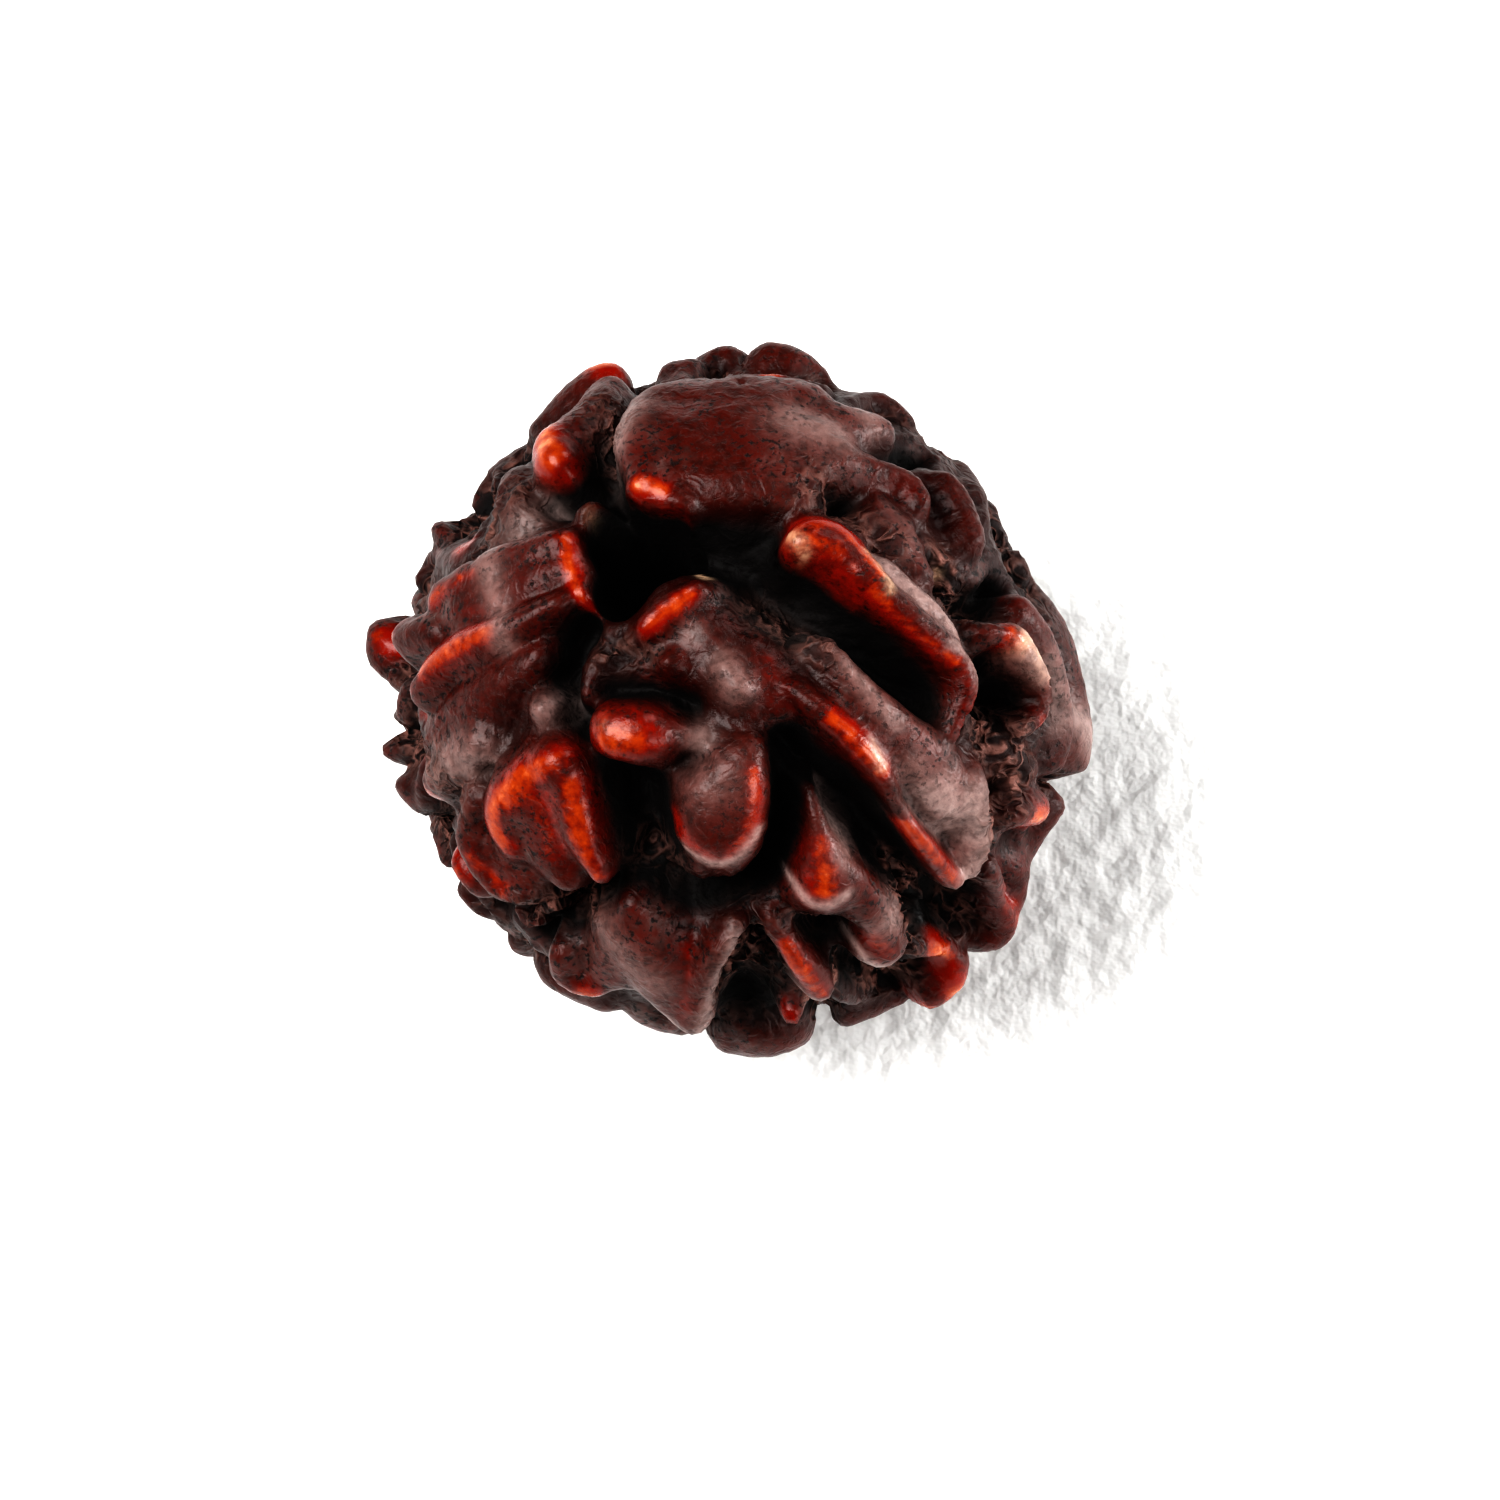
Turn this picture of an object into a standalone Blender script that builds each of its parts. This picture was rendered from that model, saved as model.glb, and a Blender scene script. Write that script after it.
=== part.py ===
"""Rudraksha bead: one hard, warty seed stone with a string hole from end to end, lying on worn warts.

Metres, +Z up, the origin on the resting plane under the middle of the bead. The bead is one piece. Crests rise from a
plateau on a sphere, each along its own path, and valleys are cut into it. Those that the photograph shows are placed
by its pixels (1500 x 1500), and those of the hidden side by a spiral and a sum of waves with seeded draws.
"""

import collections
import math

import bmesh
import bpy
import numpy as np

MM = 0.001

# The bead, from crest to crest across the photographed face, and what that face covers in the photograph
BEAD_ACROSS = 22.0 * MM
FACE_PIXELS = 724
FACE_CENTRE = (730, 701)
VIEW_ELEVATION = math.radians(70)
VIEW_DISTANCE = 300 * MM
PIXEL = BEAD_ACROSS / FACE_PIXELS

VALLEY_RADIUS = 9.2 * MM
CENTRE_HEIGHT = 10.35 * MM
CREST_BLEND = 6  # power of the smooth maximum that joins crests
PLATEAU = 0.72 * MM  # height of the ground between crests, above the valley sphere
TOP_SHARE = 0.84  # a crest's half width over the distance at which its top has fallen to about a third
TOP_FLATNESS = 2.3  # 2 is a bell curve, more is flatter with steeper sides
SKIRT_SHARE = 0.66  # how much of a crest's height its broad skirt has
SKIRT_WIDTH = 1.9  # the skirt's half width, in the crest's half widths, how much of it a lean moves, and what is added
SKIRT_LEAN = 1.4
SKIRT_FOOT = 0.3 * MM
CURVE_STEPS = 3  # straight pieces between two points of a crest's path
BLUR = 0.13 * MM  # how far the whole form is softened
SWELL = 0.11 * MM  # slow unevenness of the whole surface
SWELL_WAVES = 14
SWELL_PITCH = 6.5  # waves' mean wave number, per radian
BULGE = 0.16 * MM  # how far crests swell sideways over their flanks, from what height on and over what rise
BULGE_START = 0.7 * MM
BULGE_RISE = 0.9 * MM

# The string hole: its upper mouth in the photograph, and a bore straight through the middle
MOUTH_PIXEL = (641, 567)
MOUTH_RADIUS = 1.78 * MM
MOUTH_LOBE = 0.42 * MM  # the mouth is a rounded triangle
MOUTH_LOBE_TURN = math.radians(97)
BORE_RADIUS = 1.3 * MM
BORE_TAPER = 1.6 * MM

# Mesh: columns round the hole, rows from mouth to mouth outside, rows back up the bore, and the share of faces kept
COLUMNS = 230
OUTER_ROWS = 130
BORE_ROWS = 16
NODE_TRIANGLES = 9800

SEED = 11
HIDDEN_SPIRAL = 175  # crests that would cover the whole bead at the hidden side's spacing
HIDDEN_LIMIT = 0.27  # how far before the outline the hidden side's own crests begin, as a cosine
OUTLINE_RADIUS = 10.05 * MM  # what they keep inside of, seen as in the photograph

HIDDEN_SHIFT = 0.045  # how far they stray from the spiral, as an angle
HIDDEN_LENGTH = (0.04, 0.17)  # half their length, as an angle
HIDDEN_WIDTH = (0.3, 0.56)  # half their width in mm
HIDDEN_HEIGHT = (1.3, 2.0)  # in mm
HIDDEN_TURN = 0.8
HIDDEN_DROP = 0.12  # how much lower their ends are
FOOT_CLEARING = 0.93  # cosines of the cones round the feet and the lower mouth that stay free of them
MOUTH_CLEARING = 0.97

# A crest's height in mm above the valley sphere, its lean (the gentle flank is to the left of the path above 0, and
# to its right below 0), and the points of its path as (pixel x, pixel y, half width in mm, and share of the height
# where it isn't all of it)
Crest = collections.namedtuple("Crest", "name height lean path")

CRESTS = [
    Crest("long_crest", 1.95, 0.9, [(804, 537, 0.6, 0.95), (826, 534, 0.76), (852, 548, 0.72), (876, 573, 0.54),
                                    (902, 600, 0.46), (935, 628, 0.46), (962, 651, 0.46), (977, 684, 0.4),
                                    (969, 736, 0.34, 0.85)]),
    Crest("east_edge", 1.65, 0.9, [(802, 692, 0.34, 0.8), (834, 722, 0.42), (866, 752, 0.44), (887, 781, 0.38),
                                   (904, 812, 0.34, 0.9), (926, 844, 0.38), (948, 872, 0.42), (967, 894, 0.46)]),
    Crest("second_band", 1.42, 0, [(830, 642, 0.5, 0.95), (866, 688, 0.7), (905, 730, 1.0), (940, 768, 1.1),
                                   (962, 805, 0.85)]),
    Crest("east_lobe_back", 1.65, 0, [(984, 788, 0.4), (991, 836, 0.42), (983, 880, 0.42)]),
    Crest("inner_ear", 1.8, 0.3, [(1000, 627, 0.3, 0.9), (1026, 637, 0.5), (1040, 662, 0.52), (1055, 690, 0.42),
                                  (1055, 714, 0.36), (1036, 727, 0.3, 0.95)]),
    Crest("ear_body", 1.45, 0, [(1032, 604, 0.6), (1058, 650, 0.6), (1074, 715, 0.5), (1070, 762, 0.5)]),
    Crest("east_crumb", 1.2, 0, [(1010, 745, 0.5), (1040, 775, 0.6)]),
    Crest("east_knob", 1.8, 0, [(1030, 818, 0.42), (1054, 817, 0.5)]),
    Crest("east_fold", 1.4, 0, [(1022, 788, 0.24), (1012, 824, 0.25), (996, 850, 0.26)]),
    Crest("south_east_rib", 1.6, 0, [(1002, 880, 0.4), (1010, 910, 0.4), (1002, 935, 0.35)]),
    Crest("right_tongue", 1.8, 0, [(862, 884, 0.4, 0.8), (882, 926, 0.7, 0.95), (894, 962, 0.82)]),
    Crest("narrow_tongue", 1.85, 0, [(820, 794, 0.22, 0.75), (826, 838, 0.42, 0.88), (832, 876, 0.78),
                                     (834, 898, 0.96)]),
    Crest("broad_tongue", 1.8, 0, [(744, 768, 0.75, 0.9), (730, 803, 1.4), (719, 834, 1.6)]),
    Crest("round_knob", 2.05, 0, [(612, 740, 0.92), (630, 741, 0.92)]),
    Crest("knob_slope", 1.3, 0, [(668, 742, 0.6), (692, 744, 0.5, 0.9)]),
    Crest("low_tongue", 1.7, 0, [(772, 932, 0.28, 0.8), (801, 970, 0.46), (826, 1002, 0.44)]),
    Crest("low_knob", 1.6, 0, [(794, 1028, 0.33)]),
    Crest("left_block", 1.88, 0, [(556, 768, 0.7), (568, 812, 0.72), (580, 856, 0.56), (596, 890, 0.38, 0.95)]),
    Crest("left_block_arm", 1.8, -0.3, [(540, 768, 0.65), (505, 798, 0.72), (493, 828, 0.66),
                                        (502, 856, 0.5, 0.95)]),
    Crest("left_block_fill", 1.66, 0, [(530, 812, 1.1), (540, 862, 1.05), (560, 893, 0.55)]),
    Crest("left_apron", 1.72, -0.5, [(464, 800, 0.4, 0.9), (460, 844, 0.46), (475, 880, 0.5), (498, 902, 0.46),
                                     (522, 910, 0.34)]),
    Crest("apron_fill", 1.5, 0, [(484, 862, 0.8), (520, 893, 0.6)]),
    Crest("south_west_knob", 1.65, 0, [(448, 870, 0.35), (468, 896, 0.45)]),
    Crest("south_west_fold", 1.3, 0, [(506, 922, 0.3), (526, 934, 0.34), (543, 924, 0.28)]),
    Crest("fan", 1.62, 0, [(624, 922, 0.75, 0.8), (642, 968, 1.1), (668, 1008, 0.95), (684, 1024, 0.55)]),
    Crest("fan_left", 1.5, 0, [(604, 940, 0.6, 0.85), (606, 988, 0.8)]),
    Crest("fan_edge", 1.75, -0.6, [(738, 944, 0.26, 0.9), (716, 968, 0.32), (703, 998, 0.34), (696, 1030, 0.38)]),
    Crest("fan_knob", 1.7, 0, [(550, 966, 0.52), (560, 988, 0.56), (588, 1000, 0.46)]),
    Crest("slab_top", 1.62, 0.3, [(550, 536, 0.4), (504, 552, 0.55), (464, 572, 0.6), (432, 594, 0.6)]),
    Crest("slab_floor", 1.52, 0, [(540, 566, 0.75), (492, 590, 0.9), (452, 612, 0.75)]),
    Crest("slab_edge", 1.8, -0.5, [(550, 600, 0.4, 0.9), (508, 622, 0.44), (470, 642, 0.5), (438, 658, 0.5),
                                   (410, 692, 0.46)]),
    Crest("left_plain", 1.32, 0, [(532, 655, 0.5), (492, 684, 0.8), (452, 716, 0.9), (424, 745, 0.7)]),
    Crest("left_knuckle", 1.42, 0, [(540, 712, 0.55)]),
    Crest("left_skirt", 1.45, 0, [(470, 745, 0.6), (438, 772, 0.65), (418, 788, 0.5)]),
    Crest("west_neck", 1.95, 0, [(392, 636, 0.66), (418, 628, 0.42, 0.9)]),
    Crest("north_west_knob", 1.85, 0, [(545, 436, 0.6), (551, 454, 0.66)]),
    Crest("north_west_ramp", 1.65, 0, [(604, 376, 0.8), (588, 400, 0.95), (562, 424, 0.75)]),
    Crest("north_west_slope", 1.2, 0, [(505, 476, 0.6), (508, 510, 0.7)]),
    Crest("top_left", 1.72, 0, [(652, 396, 0.75), (632, 434, 0.85), (648, 468, 0.75)]),
    Crest("top", 1.62, 0, [(684, 430, 1.9), (750, 426, 2.1), (815, 436, 1.5)]),
    Crest("top_back", 1.6, 0, [(680, 385, 1.0), (750, 386, 1.3), (806, 392, 0.9)]),
    Crest("top_front", 1.4, 0, [(700, 472, 0.9), (755, 478, 1.0), (808, 476, 0.7)]),
    Crest("top_lip", 1.6, 0.4, [(630, 486, 0.36), (656, 488, 0.42), (684, 500, 0.34)]),
    Crest("north_east_band", 1.5, 0.2, [(848, 452, 0.5), (888, 460, 0.42), (916, 470, 0.4), (932, 494, 0.36)]),
    Crest("north_east_plain", 1.25, 0, [(888, 504, 0.85), (915, 535, 0.85), (932, 566, 0.6)]),
    Crest("north_east_slope", 1.45, 0, [(956, 472, 0.36), (974, 500, 0.46), (986, 532, 0.5)]),
    Crest("north_east_shelf", 1.5, 0, [(852, 416, 0.75), (890, 424, 0.6)]),
    Crest("mouth_left", 1.25, 0, [(564, 532, 0.34), (566, 566, 0.38), (581, 598, 0.32)]),
    Crest("mouth_corner", 1.15, 0, [(578, 508, 0.28), (594, 503, 0.26)]),
    Crest("mouth_right", 1.4, -0.4, [(641, 627, 0.32), (664, 606, 0.4), (698, 585, 0.34)]),
    Crest("middle", 1.1, 0, [(690, 620, 0.8), (715, 655, 1.0), (738, 692, 0.8)]),
    Crest("middle_web", 0.95, 0, [(760, 655, 0.7), (782, 705, 0.7)]),
    Crest("middle_knuckle", 1.45, 0, [(728, 672, 0.46), (742, 690, 0.4)]),
    Crest("middle_pebble", 1.3, 0, [(668, 662, 0.4)]),
    Crest("low_knuckle", 0.95, 0, [(590, 662, 0.4), (584, 700, 0.4)]),
]

# Crests that stand in profile on the outline, clockwise from the top: their points are (pixel x, pixel y, half
# width in mm)
EDGE_CRESTS = [
    [(667, 364, 0.35), (692, 360, 0.5)], [(706, 357, 0.45), (726, 349, 0.42), (746, 359, 0.4)],
    [(764, 345, 0.4), (796, 349, 0.6), (822, 372, 0.5)],
    [(842, 401, 0.5), (882, 400, 0.5), (912, 420, 0.35)],
    [(936, 450, 0.35), (970, 481, 0.5), (1000, 517, 0.6), (1012, 556, 0.5)],
    [(1030, 586, 0.4), (1052, 609, 0.5), (1069, 643, 0.6), (1080, 690, 0.6), (1090, 738, 0.6), (1089, 768, 0.4)],
    [(1071, 806, 0.4), (1057, 829, 0.35)], [(1046, 846, 0.4), (1028, 870, 0.4)],
    [(1027, 888, 0.45), (1019, 914, 0.5), (1000, 946, 0.4)], [(956, 962, 0.35), (958, 988, 0.45), (934, 1008, 0.4)],
    [(902, 1006, 0.4), (868, 1022, 0.4), (846, 1032, 0.4)], [(806, 1041, 0.4), (772, 1055, 0.5), (724, 1050, 0.5)],
    [(686, 1035, 0.4), (640, 1024, 0.4)], [(600, 1015, 0.4), (566, 1000, 0.5), (542, 984, 0.5), (538, 962, 0.4)],
    [(515, 942, 0.4), (492, 919, 0.4)], [(470, 917, 0.35), (452, 898, 0.45)], [(437, 866, 0.4), (432, 836, 0.4)],
    [(413, 813, 0.4), (391, 788, 0.4)], [(381, 750, 0.42)], [(393, 718, 0.3)], [(390, 678, 0.25)],
    [(370, 652, 0.5), (370, 630, 0.5)], [(412, 604, 0.3)], [(414, 580, 0.4), (430, 553, 0.4)], [(431, 527, 0.42)],
    [(470, 502, 0.35), (486, 473, 0.4), (512, 450, 0.4)],
    [(535, 421, 0.4), (560, 395, 0.5), (592, 366, 0.5), (610, 363, 0.4)],
]
EDGE_DEPTH = (0.4, 0.8)  # an edge crest runs over the edge: how much distances along its run over the edge count
EDGE_SLANT = 0.6  # how far that run leans from the line of sight
EDGE_SHIFT = 0.1  # how far it is set to or from the viewer
EDGE_LIFT = 0.08 * MM  # what the blur takes off its height

# Worn warts that the bead lies on: direction round the resting point, distance from it and half width in mm
FEET = [(175, 3.2, 1.1), (285, 3.3, 1.0), (45, 3.3, 1.05)]
FOOT_RADIUS = 11.15 * MM

# Valleys cut into the plateau: name, depth in mm, and points of (pixel x, pixel y, half width in mm)
CHANNELS = [
    ("hole_side", 1.5, [(704, 536, 0.6), (738, 546, 0.8), (775, 556, 0.75)]),
    ("long_valley", 1.55, [(764, 566, 0.85), (818, 612, 0.85), (868, 648, 0.8), (914, 684, 0.75), (952, 722, 0.5)]),
    ("right_valley", 1.5, [(788, 742, 0.4), (826, 788, 0.6), (868, 820, 0.8), (906, 852, 0.8), (942, 892, 0.65),
                           (985, 908, 0.5)]),
    ("middle_valley", 1.5, [(612, 776, 0.7), (636, 812, 1.05), (645, 862, 0.95), (614, 900, 0.5)]),
    ("tongue_foot", 1.2, [(655, 896, 0.55), (700, 910, 0.45), (750, 902, 0.42)]),
    ("tongue_gap", 1.35, [(782, 768, 0.4), (786, 816, 0.45), (780, 862, 0.5), (762, 892, 0.4)]),
    ("drop_foot", 1.3, [(792, 940, 0.4), (832, 946, 0.42), (858, 930, 0.35)]),
    ("thumb_gap", 1.3, [(920, 905, 0.4), (932, 955, 0.42), (908, 1000, 0.42), (866, 994, 0.42), (850, 970, 0.4)]),
    ("bowl", 1.3, [(766, 960, 0.6), (752, 990, 0.85), (745, 1022, 0.75)]),
    ("south_west_notch", 1.4, [(602, 900, 0.3), (572, 908, 0.42), (553, 934, 0.45), (536, 952, 0.35)]),
    ("knob_west", 1.1, [(590, 774, 0.35), (579, 738, 0.32), (586, 700, 0.32)]),
    ("knob_north", 0.9, [(604, 694, 0.3), (650, 694, 0.3), (690, 708, 0.3)]),
    ("knob_east", 0.8, [(690, 762, 0.5)]),
    ("left_valley", 1.2, [(574, 622, 0.5), (558, 666, 0.42), (566, 716, 0.38)]),
    ("upper_valley", 1.4, [(616, 430, 0.35), (602, 462, 0.62), (572, 486, 0.55), (548, 494, 0.35)]),
    ("upper_gap", 1.4, [(602, 468, 0.5), (622, 500, 0.42)]),
    ("ear_pit", 1.5, [(1014, 700, 0.6), (1036, 706, 0.7)]),
    ("ear_cleft", 1.1, [(1000, 646, 0.32), (992, 690, 0.34), (1002, 738, 0.3)]),
    ("ear_top", 1.2, [(984, 606, 0.5), (1004, 600, 0.4), (1016, 577, 0.3)]),
    ("plain_pit", 1.2, [(842, 492, 0.42), (866, 498, 0.3)]),
    ("flank_line", 0.8, [(900, 546, 0.2), (926, 580, 0.22), (952, 608, 0.24), (988, 656, 0.26)]),
    ("south_east_pit", 1.3, [(988, 930, 0.4), (962, 918, 0.55), (956, 944, 0.4)]),
    ("west_line", 0.7, [(414, 662, 0.3), (430, 622, 0.26)]),
    ("apron_line", 0.5, [(492, 772, 0.22), (480, 806, 0.22), (486, 852, 0.22), (512, 878, 0.22)]),
    ("block_foot", 0.8, [(498, 922, 0.3), (530, 906, 0.3), (560, 896, 0.25)]),
    ("peak_cleft", 0.9, [(646, 366, 0.3), (632, 384, 0.3), (622, 412, 0.3)]),
    ("shelf_cleft", 1.1, [(930, 446, 0.28), (915, 446, 0.3), (880, 448, 0.25)]),
    ("low_cleft", 1.0, [(832, 1034, 0.3), (836, 1016, 0.4), (812, 1012, 0.35)]),
    ("west_notch", 0.8, [(384, 668, 0.25), (404, 664, 0.25)]),
    ("west_low_notch", 0.8, [(418, 824, 0.25), (434, 812, 0.25)]),
    ("south_west_low_notch", 0.8, [(476, 926, 0.25), (490, 912, 0.25)]),
]
CHANNEL_START = 1.4  # a channel runs into a crest's side, and its depth there is this much
CHANNEL_CREST = 1.45  # less this much of how near the crest's top is

# The net of valleys on the hidden side: where a sum of waves crosses zero
NET_DEPTH = 1.2 * MM
NET_WAVES = 14
NET_PITCH = 5.6  # waves' mean wave number, per radian
NET_WIDTH = 0.32
NET_START = 0.05  # where the net begins before the hidden side's crests do, and over what it deepens, as cosines
NET_FADE = 0.2

MUKHI = 5  # clefts that run from mouth to mouth, seen on the hidden side
MUKHI_DEPTH = 1.0 * MM
MUKHI_WIDTH = 0.34 * MM
MUKHI_WAVER = 0.06

STONE_COLOUR = (0.09, 0.025, 0.016, 1)
STONE_ROUGHNESS = 0.42


def unit(vector):
    vector = np.asarray(vector, float)
    return vector / np.linalg.norm(vector, axis=-1, keepdims=True)


# The photograph's axes on the bead: towards the viewer, to its right and up it
TO_VIEWER = np.array([0, -math.cos(VIEW_ELEVATION), math.sin(VIEW_ELEVATION)])
TO_RIGHT = np.array([1.0, 0, 0])
UP_PICTURE = np.array([0, math.sin(VIEW_ELEVATION), math.cos(VIEW_ELEVATION)])


def seen(x, y, radius):
    """Direction from the bead's centre of what pixel x, y shows at that radius, and the radius it stands at."""
    across = ((x - FACE_CENTRE[0]) * TO_RIGHT - (y - FACE_CENTRE[1]) * UP_PICTURE) * PIXEL
    ray = unit(across - TO_VIEWER * VIEW_DISTANCE)
    eye = TO_VIEWER * VIEW_DISTANCE
    closest = eye - ray * (eye @ ray)
    gap = np.linalg.norm(closest)
    if gap >= radius:
        return closest / gap, gap
    return unit(closest - ray * math.sqrt(radius**2 - gap**2)), radius


def crest_line(height, path):
    """The path's directions, heights above the valley sphere and half widths in metres, along a smooth curve.

    The curve is a Catmull-Rom spline through the path's points.
    """
    rows = []
    for x, y, width, *share in path:
        direction, radius = seen(x, y, VALLEY_RADIUS + height * MM)
        rows.append((*direction, (radius - VALLEY_RADIUS) * (share[0] if share else 1), width * MM))
    rows = np.array(rows)
    if len(rows) == 1:
        return rows
    ends = np.concatenate([2 * rows[:1] - rows[1:2], rows, 2 * rows[-1:] - rows[-2:-1]])
    before, start, end, after = ends[:-3], ends[1:-2], ends[2:-1], ends[3:]
    steps = []
    for t in np.arange(CURVE_STEPS) / CURVE_STEPS:
        bend = 2 * before - 5 * start + 4 * end - after + t * (3 * (start - end) + after - before)
        steps.append(start + 0.5 * t * (end - before + t * bend))
    curve = np.concatenate([np.stack(steps, 1).reshape(-1, rows.shape[1]), rows[-1:]])
    curve[:, :3] = unit(curve[:, :3])
    return curve


def edge_lines():
    """Crests on the outline, where a point's height is what the outline shows, each with its run over the edge."""
    draw = np.random.default_rng(SEED + 2)
    lines = []
    for path in EDGE_CRESTS:
        line = crest_line(-VALLEY_RADIUS / MM, path)
        line[:, :3] = unit(line[:, :3] + draw.uniform(-EDGE_SHIFT, EDGE_SHIFT) * TO_VIEWER)
        aside = np.cross(TO_VIEWER, line[0, :3])
        run = unit(TO_VIEWER + draw.uniform(-EDGE_SLANT, EDGE_SLANT) * aside)
        line[:, 3] += EDGE_LIFT
        lines.append((line, 0.0, run * math.sqrt(1 - draw.uniform(*EDGE_DEPTH) ** 2)))
    return lines


def hole_axis():
    """Direction of the upper mouth from the bead's centre."""
    return seen(*MOUTH_PIXEL, VALLEY_RADIUS)[0]


def hidden_lines():
    """Crests of the side that the photograph doesn't show: short ridges on a spiral, turned and sized at random."""
    draw = np.random.default_rng(SEED)
    axis = hole_axis()
    lines = []
    for i in range(HIDDEN_SPIRAL):
        height = 1 - 2 * (i + 0.5) / HIDDEN_SPIRAL
        turn = i * math.pi * (3 - math.sqrt(5))
        ring = math.sqrt(1 - height**2)
        here = np.array([ring * math.cos(turn), ring * math.sin(turn), height])
        here = unit(here + draw.normal(0, HIDDEN_SHIFT, 3))
        length = draw.uniform(*HIDDEN_LENGTH)
        width = draw.uniform(*HIDDEN_WIDTH)
        tall = draw.uniform(*HIDDEN_HEIGHT)
        angle = draw.normal(0, HIDDEN_TURN)
        if here @ TO_VIEWER > HIDDEN_LIMIT:
            continue
        if -here[2] > FOOT_CLEARING or -here @ axis > MOUTH_CLEARING:
            continue
        room = OUTLINE_RADIUS / math.sqrt(1 - (here @ TO_VIEWER) ** 2) - VALLEY_RADIUS
        tall = min(tall, room / MM)
        along = unit(np.cross(here, np.cross(axis, here)))
        along = unit(along * math.cos(angle) + np.cross(here, along) * math.sin(angle))
        rows = [(*unit(here + along * length * step), tall * MM * (1 - HIDDEN_DROP * abs(step)), width * MM)
                for step in (-1, 0, 1)]
        lines.append(np.array(rows))
    return lines


def foot_lines():
    """The worn warts on the resting plane."""
    lines = []
    for bearing, distance, width in FEET:
        turn = math.radians(bearing)
        tilt = math.asin(distance * MM / FOOT_RADIUS)
        there = (math.sin(tilt) * math.cos(turn), math.sin(tilt) * math.sin(turn), -math.cos(tilt))
        lines.append(np.array([(*there, FOOT_RADIUS - VALLEY_RADIUS, width * MM)]))
    return lines


def ridge(directions, line, lean=0.0, over=np.zeros(3)):
    """Height of one crest at each direction, and how near its top that is (1 on the path, 0 far from it).

    A rounded top with steep sides stands on a skirt, a wider bell curve that leans to one side. Distances along the
    vector over count less, the longer it is.
    """
    best = np.zeros(directions.shape[:-1])
    nearest_top = np.zeros(directions.shape[:-1])
    ends = line[1:] if len(line) > 1 else line
    for a, b in zip(line, ends):
        run = b[:3] - a[:3]
        span = max(run @ run, 1e-12)
        share = np.clip(((directions - a[:3]) @ run) / span, 0, 1)
        nearest = unit(a[:3] + share[..., None] * run)
        away = directions - nearest
        reach = np.sqrt(np.clip((away**2).sum(-1) - (away @ over) ** 2, 0, None))
        side = (away @ np.cross(a[:3], run)) / (reach * math.sqrt(span) + 1e-9)
        tall = a[3] + share * (b[3] - a[3])
        width = a[4] + share * (b[4] - a[4])
        reach = reach * (VALLEY_RADIUS + tall)
        top = np.exp(-((reach * TOP_SHARE / width) ** TOP_FLATNESS))
        skirt_width = width * (SKIRT_WIDTH + SKIRT_LEAN * lean * side) + SKIRT_FOOT
        skirt = SKIRT_SHARE * np.exp(-((reach / skirt_width) ** 2))
        best = np.maximum(best, tall * (skirt + (1 - skirt) * top))
        nearest_top = np.maximum(nearest_top, top)
    return best, nearest_top


def waves(directions, count, pitch, seed):
    """Sum of plane sine waves with seeded directions and phases, mostly between -1.5 and 1.5."""
    draw = np.random.default_rng(seed)
    total = np.zeros(directions.shape[:-1])
    for _ in range(count):
        wave = draw.normal(0, pitch, 3)
        total += np.sin(directions @ wave + draw.uniform(0, 2 * math.pi))
    return total / math.sqrt(count)


def hidden_valleys(directions):
    """Depth of the hidden side's valleys: a net, and clefts that run from mouth to mouth."""
    axis = hole_axis()
    first = unit(np.cross(axis, TO_VIEWER))
    second = np.cross(axis, first)
    turn = np.arctan2(directions @ second, directions @ first)
    ring = np.sqrt(np.clip(1 - (directions @ axis) ** 2, 0, 1))
    sector = 2 * math.pi / MUKHI
    waver = MUKHI_WAVER * np.sin(3 * (directions @ axis) + turn)
    off = np.abs((turn + waver) % sector - sector / 2) * ring * VALLEY_RADIUS
    clefts = MUKHI_DEPTH * np.exp(-((off / MUKHI_WIDTH) ** 2))
    net = NET_DEPTH * np.exp(-((waves(directions, NET_WAVES, NET_PITCH, SEED + 3) / NET_WIDTH) ** 2))
    behind = np.clip((HIDDEN_LIMIT + NET_START - directions @ TO_VIEWER) / NET_FADE, 0, 1)
    return np.maximum(clefts, net) * behind


def surface_radius(directions):
    """Distance of the outer surface from the bead's centre in each direction.

    It is the smooth maximum of the plateau and the crests, less the valleys cut into it.
    """
    powers = np.full(directions.shape[:-1], (PLATEAU / MM) ** CREST_BLEND)
    tops = np.zeros(directions.shape[:-1])
    lines = [(crest_line(crest.height, crest.path), crest.lean) for crest in CRESTS]
    lines += edge_lines() + [(line,) for line in hidden_lines() + foot_lines()]
    for line in lines:
        height, top = ridge(directions, *line)
        powers += (height / MM) ** CREST_BLEND
        tops = np.maximum(tops, top)
    height = powers ** (1 / CREST_BLEND) * MM
    cut = hidden_valleys(directions)
    for _, depth, path in CHANNELS:
        cut = np.maximum(cut, depth * MM * ridge(directions, crest_line(1.0, path))[1])
    height -= cut * np.clip(CHANNEL_START - CHANNEL_CREST * tops, 0, 1)
    return VALLEY_RADIUS + height + SWELL * waves(directions, SWELL_WAVES, SWELL_PITCH, SEED + 1)


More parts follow.
